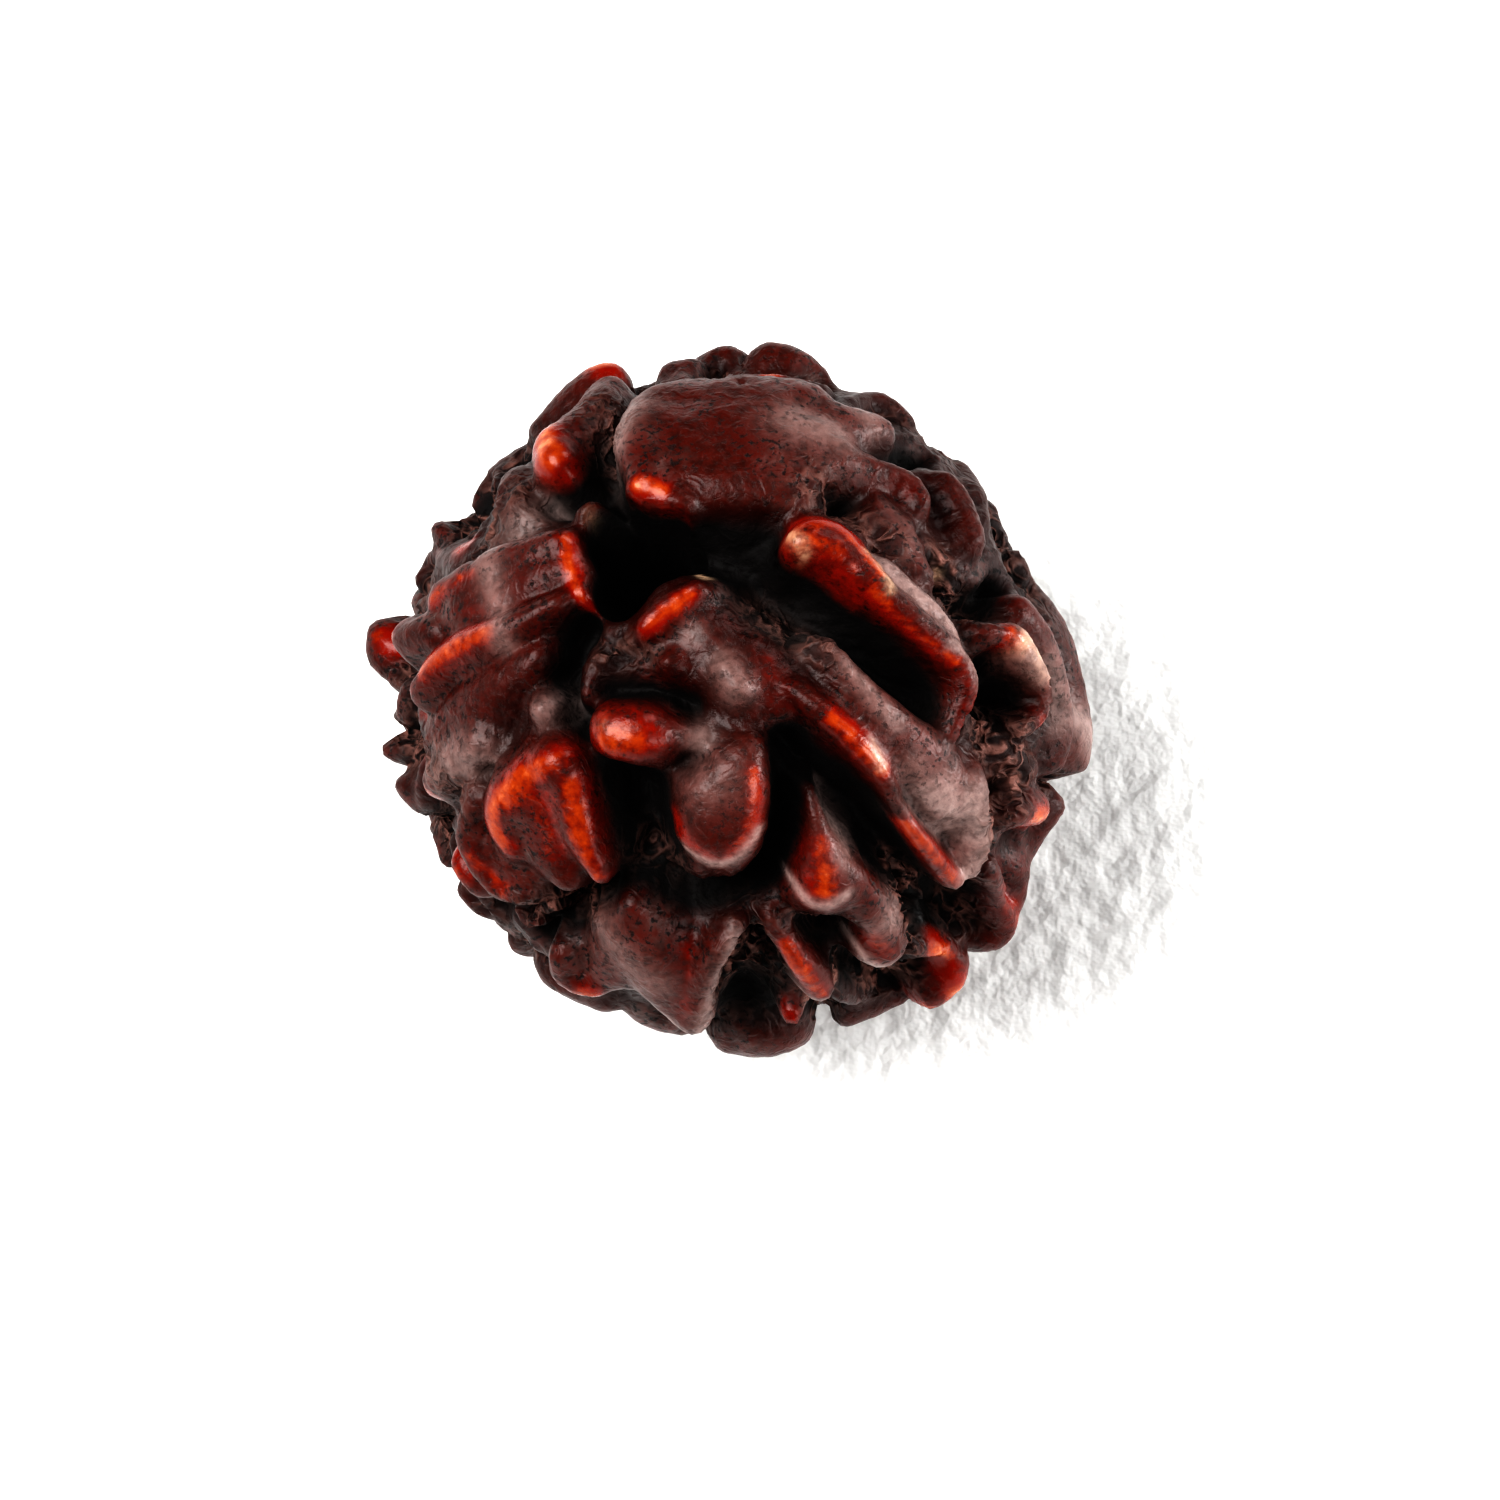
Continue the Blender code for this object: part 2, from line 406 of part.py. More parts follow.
def blurred(values, polar):
    """A Gaussian blur of the outer grid's values: round each ring by its Fourier series, then from ring to ring."""
    spread = BLUR / VALLEY_RADIUS
    wave = np.arange(values.shape[1] // 2 + 1) * spread / np.sin(polar.mean(1, keepdims=True))
    values = np.fft.irfft(np.fft.rfft(values, axis=1) * np.exp(-(wave**2) / 2), values.shape[1], axis=1)
    step = (polar[-1] - polar[0]).mean() / (len(polar) - 1)
    reach = math.ceil(3 * spread / step)
    padded = np.pad(values, ((reach, reach), (0, 0)), "edge")
    weights = np.exp(-((np.arange(-reach, reach + 1) * step / spread) ** 2) / 2)
    total = sum(weight * padded[i:i + len(values)] for i, weight in enumerate(weights))
    return total / weights.sum()


def bead_grid():
    """Points of the closed surface: rows from the upper mouth outside to the lower one, then back up the bore."""
    axis = hole_axis()
    first = unit(np.cross(axis, TO_VIEWER))
    second = np.cross(axis, first)
    turn = np.linspace(0, 2 * math.pi, COLUMNS, endpoint=False)
    around = np.cos(turn)[:, None] * first + np.sin(turn)[:, None] * second
    mouth = MOUTH_RADIUS + MOUTH_LOBE * np.cos(3 * (turn - MOUTH_LOBE_TURN))
    rim = np.arcsin(mouth / (VALLEY_RADIUS + MM))
    share = np.linspace(0, 1, OUTER_ROWS)[:, None]
    polar = rim + (math.pi - 2 * rim) * share
    directions = np.cos(polar)[..., None] * axis + np.sin(polar)[..., None] * around
    outer = directions * blurred(surface_radius(directions), polar)[..., None]
    along_axis = outer @ axis
    rim_out = np.linalg.norm(outer - along_axis[..., None] * axis, axis=-1)
    rise = np.linspace(0, 1, BORE_ROWS + 2)[1:-1, None]
    level = along_axis[-1] + (along_axis[0] - along_axis[-1]) * rise
    near_low = np.exp(-((level - along_axis[-1]) / BORE_TAPER) ** 2)
    near_top = np.exp(-((along_axis[0] - level) / BORE_TAPER) ** 2)
    radius = BORE_RADIUS + (rim_out[-1] - BORE_RADIUS) * near_low + (rim_out[0] - BORE_RADIUS) * near_top
    bore = level[..., None] * axis + radius[..., None] * around
    return np.concatenate([outer, bore])


def grid_normals(points):
    """Outward normals of a grid that closes on itself both ways."""
    down = np.roll(points, -1, axis=0) - np.roll(points, 1, axis=0)
    round_hole = np.roll(points, -1, axis=1) - np.roll(points, 1, axis=1)
    return unit(np.cross(down, round_hole))


def bulged(points):
    """Crests swell sideways a little, so that they stand over their own flanks."""
    distance = np.linalg.norm(points, axis=-1)
    raised = np.clip((distance - VALLEY_RADIUS - BULGE_START) / BULGE_RISE, 0, 1)
    raised[OUTER_ROWS:] = 0
    raised[[0, OUTER_ROWS - 1]] = 0
    return points + grid_normals(points) * (raised * BULGE)[..., None]


def bead_mesh():
    points = bulged(bead_grid()) + np.array([0, 0, CENTRE_HEIGHT])
    middle = (points.reshape(-1, 3).min(0) + points.reshape(-1, 3).max(0)) / 2
    points -= np.array([middle[0], middle[1], 0])
    rows, columns = points.shape[:2]
    index = np.arange(rows * columns).reshape(rows, columns)
    below = np.roll(index, -1, axis=0)
    beside = np.roll(index, -1, axis=1)
    corner = np.roll(below, -1, axis=1)
    quads = np.stack([index, below, corner, beside], axis=-1).reshape(-1, 4)
    mesh = bpy.data.meshes.new("bead")
    mesh.from_pydata(points.reshape(-1, 3), [], quads.tolist())
    return mesh


def thinned(bead):
    """Fewer faces, most of them kept where the surface turns."""
    modifier = bead.modifiers.new("thin", "DECIMATE")
    modifier.ratio = NODE_TRIANGLES / (2 * len(bead.data.polygons))
    modifier.use_collapse_triangulate = True
    graph = bpy.context.evaluated_depsgraph_get()
    mesh = bpy.data.meshes.new_from_object(bead.evaluated_get(graph))
    bead.modifiers.clear()
    return mesh


def rest_flat(mesh):
    """Cuts the worn warts off flat at the resting plane."""
    shape = bmesh.new()
    shape.from_mesh(mesh)
    everything = shape.verts[:] + shape.edges[:] + shape.faces[:]
    cut = bmesh.ops.bisect_plane(shape, geom=everything, dist=1e-7, plane_co=(0, 0, 0), plane_no=(0, 0, -1),
                                 clear_outer=True)
    rims = [e for e in cut["geom_cut"] if isinstance(e, bmesh.types.BMEdge)]
    bmesh.ops.edgeloop_fill(shape, edges=rims)
    bmesh.ops.recalc_face_normals(shape, faces=shape.faces[:])
    shape.to_mesh(mesh)
    shape.free()


def stone_material():
    material = bpy.data.materials.new("seed_stone")
    material.use_nodes = True
    shader = material.node_tree.nodes["Principled BSDF"]
    shader.inputs["Base Color"].default_value = STONE_COLOUR
    shader.inputs["Roughness"].default_value = STONE_ROUGHNESS
    shader.inputs["Metallic"].default_value = 0.0
    return material


def build():
    for thing in list(bpy.data.objects):
        bpy.data.objects.remove(thing, do_unlink=True)
    bead = bpy.data.objects.new("bead", bead_mesh())
    bpy.context.scene.collection.objects.link(bead)
    bead.data = thinned(bead)
    rest_flat(bead.data)
    bead.data.name = "bead"
    bead.data.materials.append(stone_material())
    bead.data.shade_smooth()


build()
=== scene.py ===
# A rudraksha bead on a white table: the fine surface, finish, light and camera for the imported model

import math

import bpy
import numpy as np
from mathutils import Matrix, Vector


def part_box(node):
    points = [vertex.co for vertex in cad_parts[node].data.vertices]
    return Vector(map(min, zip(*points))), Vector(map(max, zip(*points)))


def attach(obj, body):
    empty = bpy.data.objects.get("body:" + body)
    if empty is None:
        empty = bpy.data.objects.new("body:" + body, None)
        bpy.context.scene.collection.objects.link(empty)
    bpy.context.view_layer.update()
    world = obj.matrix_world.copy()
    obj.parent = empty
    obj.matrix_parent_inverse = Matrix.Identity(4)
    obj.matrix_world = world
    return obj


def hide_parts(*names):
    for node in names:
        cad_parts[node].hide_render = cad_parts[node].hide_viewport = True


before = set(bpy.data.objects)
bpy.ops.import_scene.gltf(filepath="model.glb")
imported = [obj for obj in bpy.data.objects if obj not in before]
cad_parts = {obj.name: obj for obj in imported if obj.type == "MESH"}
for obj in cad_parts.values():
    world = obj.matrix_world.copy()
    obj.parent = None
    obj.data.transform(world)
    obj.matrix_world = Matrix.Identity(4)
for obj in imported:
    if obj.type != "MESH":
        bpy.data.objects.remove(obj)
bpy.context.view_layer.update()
print("frame loaded")

mm = 0.001

# How the photograph shows the bead: pixels of its 1500 x 1500 frame, and the view it was taken from
photo = {
    "frameSize": 1500,
    "faceCentre": (730, 701),  # pixel of the bead's middle
    "facePixels": 724,  # pixels across the crests
    "faceAcross": 22 * mm,  # and what they measure
    "dressedAcross": 22.4 * mm,  # the same once the crests have their full width
    "elevation": math.radians(70),
    "distance": 300 * mm,
    "sensor": 36,  # mm
}

# The hard shell's form, as the solid has it: a valley sphere that crests are raised from
shell = {
    "valleyRadius": 9.2 * mm,
    "centreHeight": 10.35 * mm,
    "crestBlend": 6,  # power of the smooth maximum that joins crests
    "plateau": 0.72 * mm,  # height of the ground between crests
    "skirtShare": 0.66,  # how much of a crest's height its broad skirt has
    "skirtWidth": 1.9,  # how much wider than its top a skirt is
    "skirtLean": 1.4,  # and how much of that a lean moves to one side
    "skirtFoot": 0.3 * mm,
    "topShare": 0.84,  # narrows a top, so that top and skirt together have the half width
    "topFlatness": 2.3,
    "crestReach": 0.75,  # radians past its line where a crest still counts
    "swell": 0.11 * mm,
    "swellWaves": 14,
    "swellPitch": 6.5,  # waves' mean wave number, per radian
    "bulge": 0.16 * mm,  # how far crests swell sideways
    "bulgeStart": 0.7 * mm,  # from this height up
    "bulgeRamp": 0.9 * mm,
    "mouthPixel": (641, 567),
    "mouthRadius": 1.78 * mm,
    "mouthLobe": 0.42 * mm,  # three lobes round it
    "mouthTurn": math.radians(97),
    "boreRadius": 1.3 * mm,
    "boreTaper": 1.6 * mm,  # how far in the mouths narrow to the bore
    "mouthLight": 0.8,  # how much of the bore's painted shade the upper mouth takes away
    "seed": 11,
    "hiddenSpiral": 175,  # places for ridges on the whole sphere
    "hiddenLimit": 0.27,  # cosine to the viewer where the hidden side starts
    "hiddenJitter": 0.045,
    "hiddenLength": (0.04, 0.17),  # radians, from the middle of a ridge to its end
    "hiddenWidth": (0.3, 0.56),  # mm
    "hiddenTall": (1.3, 2.0),  # mm
    "hiddenTurn": 0.8,  # radians from the way to the mouth
    "hiddenDrop": 0.12,  # share of its height that a ridge loses at its ends
    "undersideLimit": 0.93,  # no ridges lower down than this, round the feet
    "lowerMouthLimit": 0.97,  # nor nearer to the lower mouth
    "outlineRadius": 10.05 * mm,  # hidden ridges stay inside it, seen from the photograph's side
    "edgeDepth": (0.4, 0.8),  # how much of a distance over the edge counts
    "edgeSlant": 0.6,
    "edgeShift": 0.1,
    "edgeLift": 0.08 * mm,  # what the blur takes off their height
    "feet": [(175, 3.2, 1.1), (285, 3.3, 1.0), (45, 3.3, 1.05)],  # bearing, mm out, half width in mm
    "footRadius": 11.15 * mm,
    "mukhi": 5,  # clefts from mouth to mouth
    "mukhiDepth": 1.0 * mm,
    "mukhiWidth": 0.34 * mm,
    "mukhiWaver": 0.06,
    "channelReach": 0.3,
    "channelStart": 1.4,
    "channelCrest": 1.45,  # how fast a crest's own top fills a channel that runs into it
    "netDepth": 1.2 * mm,  # the net of valleys on the hidden side
    "netWaves": 14,
    "netPitch": 5.6,
    "netWidth": 0.32,
    "netStart": 0.05,
    "netFade": 0.2,
    "curveSteps": 3,  # straight pieces between two points of a crest
    "blur": 0.13 * mm,  # how far the form is softened
    "columns": 404,  # the grid: points round it, and rows outside and in the bore
    "outerRows": 226,
    "boreRows": 18,
}

# Crests that the photograph shows: name, height in mm, lean, points as (pixel x, pixel y, half width in mm,
# share of the height where it isn't all of it)
crests = [
    ("long crest", 1.95, 0.9, [(804, 537, 0.6, 0.95), (826, 534, 0.76), (852, 548, 0.72), (876, 573, 0.54),
                               (902, 600, 0.46), (935, 628, 0.46), (962, 651, 0.46), (977, 684, 0.4),
                               (969, 736, 0.34, 0.85)]),
    ("east edge", 1.65, 0.9, [(802, 692, 0.34, 0.8), (834, 722, 0.42), (866, 752, 0.44), (887, 781, 0.38),
                              (904, 812, 0.34, 0.9), (926, 844, 0.38), (948, 872, 0.42), (967, 894, 0.46)]),
    ("second band", 1.42, 0, [(830, 642, 0.5, 0.95), (866, 688, 0.7), (905, 730, 1.0), (940, 768, 1.1),
                              (962, 805, 0.85)]),
    ("east lobe back", 1.65, 0, [(984, 788, 0.4), (991, 836, 0.42), (983, 880, 0.42)]),
    ("inner ear", 1.8, 0.3, [(1000, 627, 0.3, 0.9), (1026, 637, 0.5), (1040, 662, 0.52), (1055, 690, 0.42),
                             (1055, 714, 0.36), (1036, 727, 0.3, 0.95)]),
    ("ear body", 1.45, 0, [(1032, 604, 0.6), (1058, 650, 0.6), (1074, 715, 0.5), (1070, 762, 0.5)]),
    ("east crumb", 1.2, 0, [(1010, 745, 0.5), (1040, 775, 0.6)]),
    ("east knob", 1.8, 0, [(1030, 818, 0.42), (1054, 817, 0.5)]),
    ("east fold", 1.4, 0, [(1022, 788, 0.24), (1012, 824, 0.25), (996, 850, 0.26)]),
    ("south east rib", 1.6, 0, [(1002, 880, 0.4), (1010, 910, 0.4), (1002, 935, 0.35)]),
    ("right tongue", 1.8, 0, [(862, 884, 0.4, 0.8), (882, 926, 0.7, 0.95), (894, 962, 0.82)]),
    ("narrow tongue", 1.85, 0, [(820, 794, 0.22, 0.75), (826, 838, 0.42, 0.88), (832, 876, 0.78),
                                (834, 898, 0.96)]),
    ("broad tongue", 1.8, 0, [(744, 768, 0.75, 0.9), (730, 803, 1.4), (719, 834, 1.6)]),
    ("round knob", 2.05, 0, [(612, 740, 0.92), (630, 741, 0.92)]),
    ("knob slope", 1.3, 0, [(668, 742, 0.6), (692, 744, 0.5, 0.9)]),
    ("low tongue", 1.7, 0, [(772, 932, 0.28, 0.8), (801, 970, 0.46), (826, 1002, 0.44)]),
    ("low knob", 1.6, 0, [(794, 1028, 0.33)]),
    ("left block", 1.88, 0, [(556, 768, 0.7), (568, 812, 0.72), (580, 856, 0.56), (596, 890, 0.38, 0.95)]),
    ("left block arm", 1.8, -0.3, [(540, 768, 0.65), (505, 798, 0.72), (493, 828, 0.66),
                                   (502, 856, 0.5, 0.95)]),
    ("left block fill", 1.66, 0, [(530, 812, 1.1), (540, 862, 1.05), (560, 893, 0.55)]),
    ("left apron", 1.72, -0.5, [(464, 800, 0.4, 0.9), (460, 844, 0.46), (475, 880, 0.5), (498, 902, 0.46),
                                (522, 910, 0.34)]),
    ("apron fill", 1.5, 0, [(484, 862, 0.8), (520, 893, 0.6)]),
    ("south west knob", 1.65, 0, [(448, 870, 0.35), (468, 896, 0.45)]),
    ("south west fold", 1.3, 0, [(506, 922, 0.3), (526, 934, 0.34), (543, 924, 0.28)]),
    ("fan", 1.62, 0, [(624, 922, 0.75, 0.8), (642, 968, 1.1), (668, 1008, 0.95), (684, 1024, 0.55)]),
    ("fan left", 1.5, 0, [(604, 940, 0.6, 0.85), (606, 988, 0.8)]),
    ("fan edge", 1.75, -0.6, [(738, 944, 0.26, 0.9), (716, 968, 0.32), (703, 998, 0.34), (696, 1030, 0.38)]),
    ("fan knob", 1.7, 0, [(550, 966, 0.52), (560, 988, 0.56), (588, 1000, 0.46)]),
    ("slab top", 1.62, 0.3, [(550, 536, 0.4), (504, 552, 0.55), (464, 572, 0.6), (432, 594, 0.6)]),
    ("slab floor", 1.52, 0, [(540, 566, 0.75), (492, 590, 0.9), (452, 612, 0.75)]),
    ("slab edge", 1.8, -0.5, [(550, 600, 0.4, 0.9), (508, 622, 0.44), (470, 642, 0.5), (438, 658, 0.5),
                              (410, 692, 0.46)]),
    ("left plain", 1.32, 0, [(532, 655, 0.5), (492, 684, 0.8), (452, 716, 0.9), (424, 745, 0.7)]),
    ("left knuckle", 1.42, 0, [(540, 712, 0.55)]),
    ("left skirt", 1.45, 0, [(470, 745, 0.6), (438, 772, 0.65), (418, 788, 0.5)]),
    ("west neck", 1.95, 0, [(392, 636, 0.66), (418, 628, 0.42, 0.9)]),
    ("north west knob", 1.85, 0, [(545, 436, 0.6), (551, 454, 0.66)]),
    ("north west ramp", 1.65, 0, [(604, 376, 0.8), (588, 400, 0.95), (562, 424, 0.75)]),
    ("north west slope", 1.2, 0, [(505, 476, 0.6), (508, 510, 0.7)]),
    ("top left", 1.72, 0, [(652, 396, 0.75), (632, 434, 0.85), (648, 468, 0.75)]),
    ("top", 1.62, 0, [(684, 430, 1.9), (750, 426, 2.1), (815, 436, 1.5)]),
    ("top back", 1.6, 0, [(680, 385, 1.0), (750, 386, 1.3), (806, 392, 0.9)]),
    ("top front", 1.4, 0, [(700, 472, 0.9), (755, 478, 1.0), (808, 476, 0.7)]),
    ("top lip", 1.6, 0.4, [(630, 486, 0.36), (656, 488, 0.42), (684, 500, 0.34)]),
    ("north east band", 1.5, 0.2, [(848, 452, 0.5), (888, 460, 0.42), (916, 470, 0.4), (932, 494, 0.36)]),
    ("north east plain", 1.25, 0, [(888, 504, 0.85), (915, 535, 0.85), (932, 566, 0.6)]),
    ("north east slope", 1.45, 0, [(956, 472, 0.36), (974, 500, 0.46), (986, 532, 0.5)]),
    ("north east shelf", 1.5, 0, [(852, 416, 0.75), (890, 424, 0.6)]),
    ("mouth left", 1.25, 0, [(564, 532, 0.34), (566, 566, 0.38), (581, 598, 0.32)]),
    ("mouth corner", 1.15, 0, [(578, 508, 0.28), (594, 503, 0.26)]),
    ("mouth right", 1.4, -0.4, [(641, 627, 0.32), (664, 606, 0.4), (698, 585, 0.34)]),
    ("middle", 1.1, 0, [(690, 620, 0.8), (715, 655, 1.0), (738, 692, 0.8)]),
    ("middle web", 0.95, 0, [(760, 655, 0.7), (782, 705, 0.7)]),
    ("middle knuckle", 1.45, 0, [(728, 672, 0.46), (742, 690, 0.4)]),
    ("middle pebble", 1.3, 0, [(668, 662, 0.4)]),
    ("low knuckle", 0.95, 0, [(590, 662, 0.4), (584, 700, 0.4)]),
    # A low shoulder that is in the fine shell alone
    ("long shoulder", 1.55, 0, [(892, 560, 0.28), (922, 588, 0.34), (950, 614, 0.32), (970, 640, 0.2, 0.9)]),
]

# Crests that stand in profile on the outline, clockwise from the top
edgeCrests = [
    [(667, 364, 0.35), (692, 360, 0.5)], [(706, 357, 0.45), (726, 349, 0.42), (746, 359, 0.4)],
    [(764, 345, 0.4), (796, 349, 0.6), (822, 372, 0.5)],
    [(842, 401, 0.5), (882, 400, 0.5), (912, 420, 0.35)],
    [(936, 450, 0.35), (970, 481, 0.5), (1000, 517, 0.6), (1012, 556, 0.5)],
    [(1030, 586, 0.4), (1052, 609, 0.5), (1069, 643, 0.6), (1080, 690, 0.6), (1090, 738, 0.6), (1089, 768, 0.4)],
    [(1071, 806, 0.4), (1057, 829, 0.35)], [(1046, 846, 0.4), (1028, 870, 0.4)],
    [(1027, 888, 0.45), (1019, 914, 0.5), (1000, 946, 0.4)], [(956, 962, 0.35), (958, 988, 0.45), (934, 1008, 0.4)],
    [(902, 1006, 0.4), (868, 1022, 0.4), (846, 1032, 0.4)], [(806, 1041, 0.4), (772, 1055, 0.5), (724, 1050, 0.5)],
    [(686, 1035, 0.4), (640, 1024, 0.4)], [(600, 1015, 0.4), (566, 1000, 0.5), (542, 984, 0.5), (538, 962, 0.4)],
    [(515, 942, 0.4), (492, 919, 0.4)], [(470, 917, 0.35), (452, 898, 0.45)], [(437, 866, 0.4), (432, 836, 0.4)],
    [(413, 813, 0.4), (391, 788, 0.4)], [(381, 750, 0.42)], [(393, 718, 0.3)], [(390, 678, 0.25)],
    [(370, 652, 0.5), (370, 630, 0.5)], [(412, 604, 0.3)], [(414, 580, 0.4), (430, 553, 0.4)], [(431, 527, 0.42)],
    [(470, 502, 0.35), (486, 473, 0.4), (512, 450, 0.4)],
    [(535, 421, 0.4), (560, 395, 0.5), (592, 366, 0.5), (610, 363, 0.4)],
]

# Valleys cut into the plateau: name, depth in mm, points as (pixel x, pixel y, half width in mm)
channels = [
    ("hole side", 1.5, [(704, 536, 0.6), (738, 546, 0.8), (775, 556, 0.75)]),
    ("long valley", 1.55, [(764, 566, 0.85), (818, 612, 0.85), (868, 648, 0.8), (914, 684, 0.75), (952, 722, 0.5)]),
    ("right valley", 1.5, [(788, 742, 0.4), (826, 788, 0.6), (868, 820, 0.8), (906, 852, 0.8), (942, 892, 0.65),
                           (985, 908, 0.5)]),
    ("middle valley", 1.5, [(612, 776, 0.7), (636, 812, 1.05), (645, 862, 0.95), (614, 900, 0.5)]),
    ("tongue foot", 1.2, [(655, 896, 0.55), (700, 910, 0.45), (750, 902, 0.42)]),
    ("tongue gap", 1.35, [(782, 768, 0.4), (786, 816, 0.45), (780, 862, 0.5), (762, 892, 0.4)]),
    ("drop foot", 1.3, [(792, 940, 0.4), (832, 946, 0.42), (858, 930, 0.35)]),
    ("thumb gap", 1.3, [(920, 905, 0.4), (932, 955, 0.42), (908, 1000, 0.42), (866, 994, 0.42), (850, 970, 0.4)]),
    ("bowl", 1.3, [(766, 960, 0.6), (752, 990, 0.85), (745, 1022, 0.75)]),
    ("south west notch", 1.4, [(602, 900, 0.3), (572, 908, 0.42), (553, 934, 0.45), (536, 952, 0.35)]),
    ("knob west", 1.1, [(590, 774, 0.35), (579, 738, 0.32), (586, 700, 0.32)]),
    ("knob north", 0.9, [(604, 694, 0.3), (650, 694, 0.3), (690, 708, 0.3)]),
    ("knob east", 0.8, [(690, 762, 0.5)]),
    ("left valley", 1.2, [(574, 622, 0.5), (558, 666, 0.42), (566, 716, 0.38)]),
    ("upper valley", 1.4, [(616, 430, 0.35), (602, 462, 0.62), (572, 486, 0.55), (548, 494, 0.35)]),
    ("upper gap", 1.4, [(602, 468, 0.5), (622, 500, 0.42)]),
    ("ear pit", 1.5, [(1014, 700, 0.6), (1036, 706, 0.7)]),
    ("ear cleft", 1.1, [(1000, 646, 0.32), (992, 690, 0.34), (1002, 738, 0.3)]),
    ("ear top", 1.2, [(984, 606, 0.5), (1004, 600, 0.4), (1016, 577, 0.3)]),
    ("plain pit", 1.2, [(842, 492, 0.42), (866, 498, 0.3)]),
    ("flank line", 0.8, [(916, 536, 0.2), (946, 570, 0.22), (974, 600, 0.24), (1002, 650, 0.24)]),
    ("south east pit", 1.3, [(988, 930, 0.4), (962, 918, 0.55), (956, 944, 0.4)]),
    ("west line", 0.7, [(414, 662, 0.3), (430, 622, 0.26)]),
    ("apron line", 0.5, [(492, 772, 0.22), (480, 806, 0.22), (486, 852, 0.22), (512, 878, 0.22)]),
    ("block foot", 0.8, [(498, 922, 0.3), (530, 906, 0.3), (560, 896, 0.25)]),
    ("peak cleft", 0.9, [(646, 366, 0.3), (632, 384, 0.3), (622, 412, 0.3)]),
    ("shelf cleft", 1.1, [(930, 446, 0.28), (915, 446, 0.3), (880, 448, 0.25)]),
    ("low cleft", 1.0, [(832, 1034, 0.3), (836, 1016, 0.4), (812, 1012, 0.35)]),
    ("west notch", 0.8, [(384, 668, 0.25), (404, 664, 0.25)]),
    ("west low notch", 0.8, [(418, 824, 0.25), (434, 812, 0.25)]),
    ("south west low notch", 0.8, [(476, 926, 0.25), (490, 912, 0.25)]),
]

# The soft round brush that the strokes below are drawn with
brush = {
    "height": 1.6,  # mm above the valley sphere, where its pixels are taken to lie
    "reach": 0.35,  # radians
    "softness": 1.1,  # its bell curve's width over the stroke's half width
}

